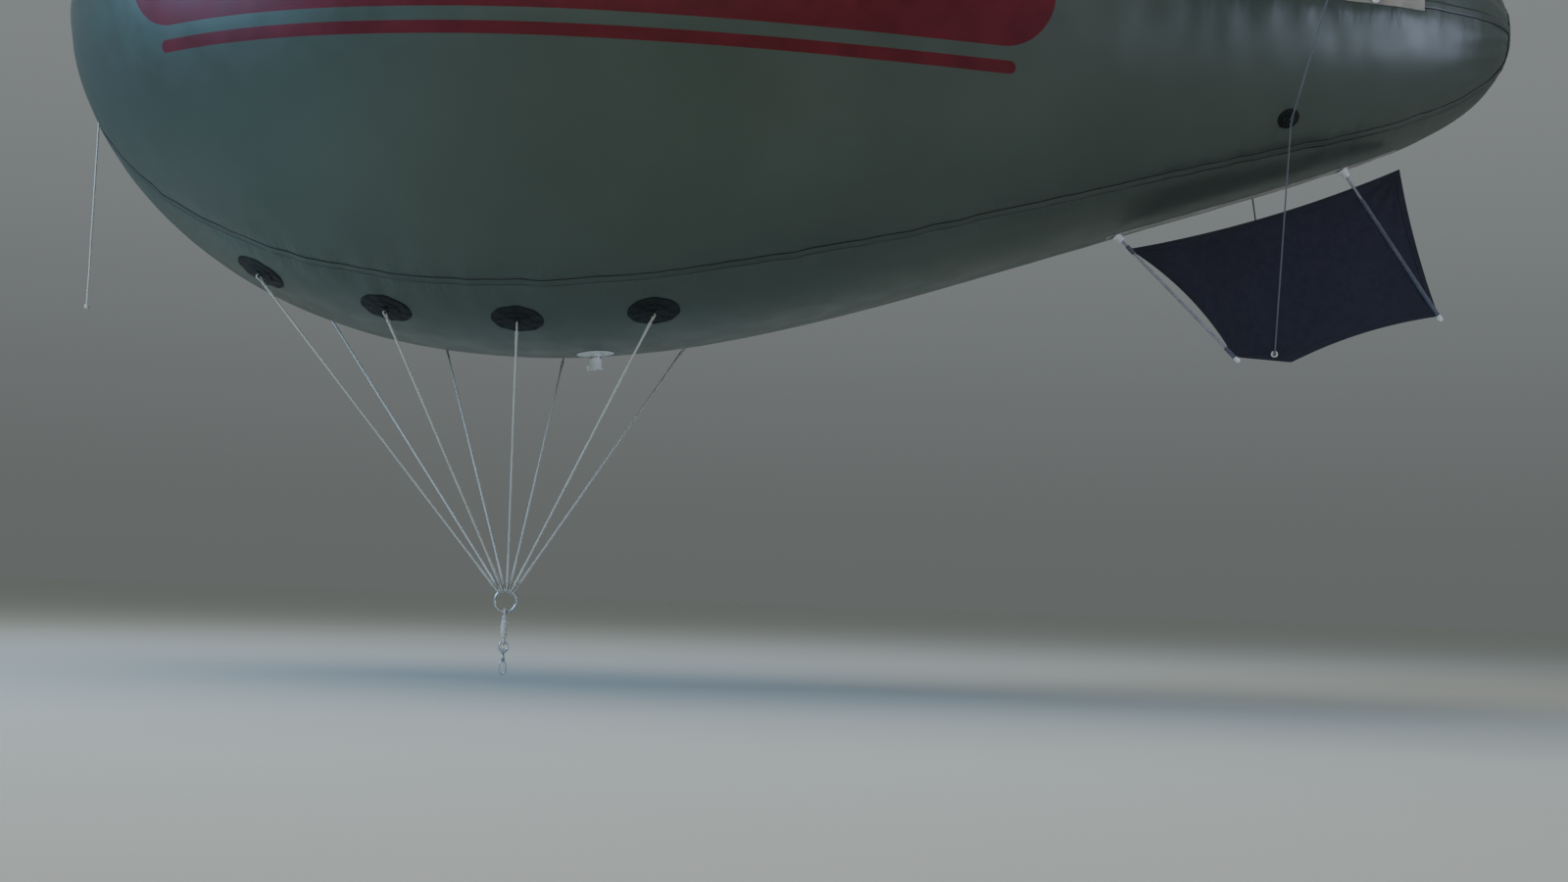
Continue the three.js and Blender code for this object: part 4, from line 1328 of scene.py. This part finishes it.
loop_top = line_top(NOSE_STATION, BELOW)[1]
nose_eye = LOOP_WIRE + SEAT + NOSE_EYE_WIRE
exit_at = loop_top - UP * nose_eye
hang = [exit_at + Vector((0, 0.0015 * sin(k * 0.9) * k / 24, -NOSE_LINE_LENGTH * k / 24)) for k in range(25)]
knot = arc(hang[-1], FORE, PORT, 0.0066, 0, 1000, 56)
knot = [p + UP * (0.014 * (0.5 - k / 56)) for k, p in enumerate(knot)]
nose_cord = run_cord("nose_hanging_line", hang, NOSE_LINE_RADIUS, 12)
nose_eye_cord = run_cord("nose_line_eye", eye_path(loop_top, PORT, -UP, nose_eye, 0.024), NOSE_EYE_WIRE, 8)
nose_whip = whipping("nose_line_whip", exit_at - UP * 0.02, -UP, NOSE_LINE_RADIUS)
nose_knot = run_cord("nose_line_knot", knot, NOSE_LINE_RADIUS, 10)
for piece in (nose_cord, nose_eye_cord, nose_whip, nose_knot):
    piece.data.materials.append(line_cord)
    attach(piece, "balloon")
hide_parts("nose_line")


# Filling valve: a white moulded neck through a welded flange on the belly, with a rubber flap inside.
# A hinged lid with a gripped rim closes it, and a steel band clamps the neck.
VALVE_STATION = 0.208
NECK = {"radius": 0.025, "bore": 0.021, "length": 0.062}
LID = {"radius": 0.027, "thick": 0.006, "plug": 0.018, "plug_depth": 0.005}
LID_HINGE = {"pivot": 0.034, "half": 0.0045}
EAR = {"inner": 0.0055, "outer": 0.009}
GRIPS, GRIP_DEPTH = 32, 0.0006
# Outlines of the parts that have sizes of their own, as radius and height.
FLANGE = [
    (0.0254, 0.0003), (0.0254, 0.0036), (0.030, 0.0040), (0.040, 0.0040), (0.0415, 0.0046), (0.043, 0.0040),
    (0.055, 0.0036), (0.066, 0.0034), (0.0675, 0.0042), (0.069, 0.0034), (0.076, 0.0030), (0.078, 0.0020),
    (0.078, 0.0003), (0.060, 0.0003), (0.042, 0.0003), (0.0254, 0.0003),
]
CLAMP_SCREW = [
    (0, -0.008), (0.003, -0.008), (0.0036, -0.007), (0.0036, 0.006), (0.0024, 0.0065), (0.0024, 0.010),
    (0, 0.010),
]
HINGE_PIN = [
    (0, -0.0096), (0.0022, -0.0096), (0.0022, -0.0090), (0.0015, -0.0090), (0.0015, 0.0090),
    (0.0022, 0.0090), (0.0022, 0.0096), (0, 0.0096),
]
FLAP = [(0, 0.0085), (0.008, 0.0080), (0.019, 0.0060), (0.0208, 0.0050), (0.0208, 0.0035), (0, 0.0035)]
BARREL = [
    (0.0019, -0.0045), (0.0034, -0.0045), (0.004, -0.0039), (0.004, 0.0039), (0.0034, 0.0045),
    (0.0019, 0.0045), (0.0019, -0.0045),
]

valve_foot = on_hull(VALVE_STATION, BELOW)
valve_out = hull_normal(VALVE_STATION, BELOW)
valve_fore = Vector((-valve_out.z, 0, valve_out.x))

flange = turned("valve_flange", FLANGE, 64)
lay_on_film(flange, VALVE_STATION, BELOW)
face_outward()
flange.data.materials.append(white_plastic)
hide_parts("inflation_flange")
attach(flange, "balloon")

rubber = worn_finish("black_rubber", 40.0, (0.012, 0.012, 0.012), (0.03, 0.03, 0.03), (0.2, 0.5))[0]


def valve_box(low, high, bevel):
    """A moulded block in the valve's own frame, with rounded edges."""
    block = new_piece(bpy.ops.mesh.primitive_cube_add, "block", size=1)
    low, high = Vector(low), Vector(high)
    block.data.transform(Matrix.Translation((low + high) / 2) @ Matrix.Diagonal((*(high - low), 1)))
    bpy.ops.object.mode_set(mode="EDIT")
    bpy.ops.mesh.select_all(action="SELECT")
    bpy.ops.mesh.bevel(offset=bevel, segments=3)
    bpy.ops.object.mode_set(mode="OBJECT")
    bpy.ops.object.shade_smooth_by_angle(angle=radians(40))
    return block


r, bore, long = NECK["radius"], NECK["bore"], NECK["length"]
neck = turned(
    "neck_tube",
    [
        (bore, -0.004), (r, -0.004), (r, 0.010), (r - 0.0012, 0.013), (r - 0.0012, 0.024), (r, 0.027),
        (r, 0.036), (r - 0.0008, 0.0375), (r, 0.039), (r - 0.0008, 0.0405), (r, 0.042), (r, long - 0.006),
        (r - 0.001, long - 0.005), (r, long - 0.004), (r, long - 0.0012), (r - 0.001, long),
        (bore + 0.0008, long), (bore, long - 0.0008), (bore, -0.004),
    ],
    56,
)
clamp = turned(
    "neck_clamp",
    [
        (r - 0.0010, 0.0145), (r + 0.0006, 0.0145), (r + 0.0008, 0.0150), (r + 0.0008, 0.0220),
        (r + 0.0006, 0.0225), (r - 0.0010, 0.0225), (r - 0.0010, 0.0145),
    ],
    56,
)
lid_foot = long + SEAT
lid_top = lid_foot + LID["thick"]
pivot_at = Vector((LID_HINGE["pivot"], 0, lid_foot + LID["thick"] / 2))
clamp_screw = set_up(turned("clamp_screw", CLAMP_SCREW, 20), Vector((-r - 0.0030, 0, 0.0185)), PORT)
pin = set_up(turned("hinge_pin", HINGE_PIN, 20), pivot_at, PORT)
flap = turned("valve_flap", FLAP, 40)
ears = []
for side in (-1, 1):
    low_y, high_y = sorted((side * EAR["inner"], side * EAR["outer"]))
    arm_low, arm_high = (r - 0.002, low_y + 0.0004, 0.0506), (0.032, high_y - 0.0004, long - 0.001)
    ears.append(valve_box(arm_low, arm_high, 0.0008))
    ears.append(valve_box((0.030, low_y, 0.050), (0.038, high_y, 0.070), 0.0012))
parts = [(white_plastic, (neck, *ears)), (steel, (clamp, clamp_screw, pin)), (rubber, (flap,))]
for finish, pieces in parts:
    for piece in pieces:
        piece.data.materials.append(finish)
neck = joined("valve_neck", [neck, *ears, clamp, clamp_screw, pin, flap])
set_up(neck, valve_foot, valve_out, valve_fore)
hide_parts("inflation_neck")
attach(neck, "balloon")

r, plug = LID["radius"], LID["plug"]
plug_foot = lid_foot - LID["plug_depth"]
lid = turned(
    "lid_disc",
    [
        (0, plug_foot), (plug - 0.001, plug_foot), (plug, plug_foot + 0.001), (plug, lid_foot),
        (r - 0.0008, lid_foot), (r, lid_foot + 0.0008), (r, lid_top - 0.0012), (r - 0.0012, lid_top),
        (r - 0.005, lid_top), (r - 0.0065, lid_top - 0.0014), (0.006, lid_top - 0.0014),
        (0.004, lid_top - 0.0004), (0, lid_top - 0.0004),
    ],
    96,
)
for v in lid.data.vertices:
    from_axis = hypot(v.co.x, v.co.y)
    if from_axis > r - 0.0002:
        grip = 1 - GRIP_DEPTH / from_axis * (0.5 + 0.5 * cos(GRIPS * atan2(v.co.y, v.co.x)))
        v.co.x *= grip
        v.co.y *= grip
arm_half = LID_HINGE["half"]
arm = valve_box((0.0225, -arm_half, lid_foot + 0.0004), (pivot_at.x, arm_half, lid_top - 0.0006), 0.0008)
barrel = set_up(turned("lid_barrel", BARREL, 32), pivot_at, PORT)
pull_tab = valve_box((-0.030, -0.006, lid_top - 0.0030), (-0.022, 0.006, lid_top - 0.0006), 0.0008)
lid = joined("valve_lid", [lid, arm, barrel, pull_tab], white_plastic)
set_up(lid, valve_foot, valve_out, valve_fore)
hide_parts("inflation_lid")
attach(lid, "lid")
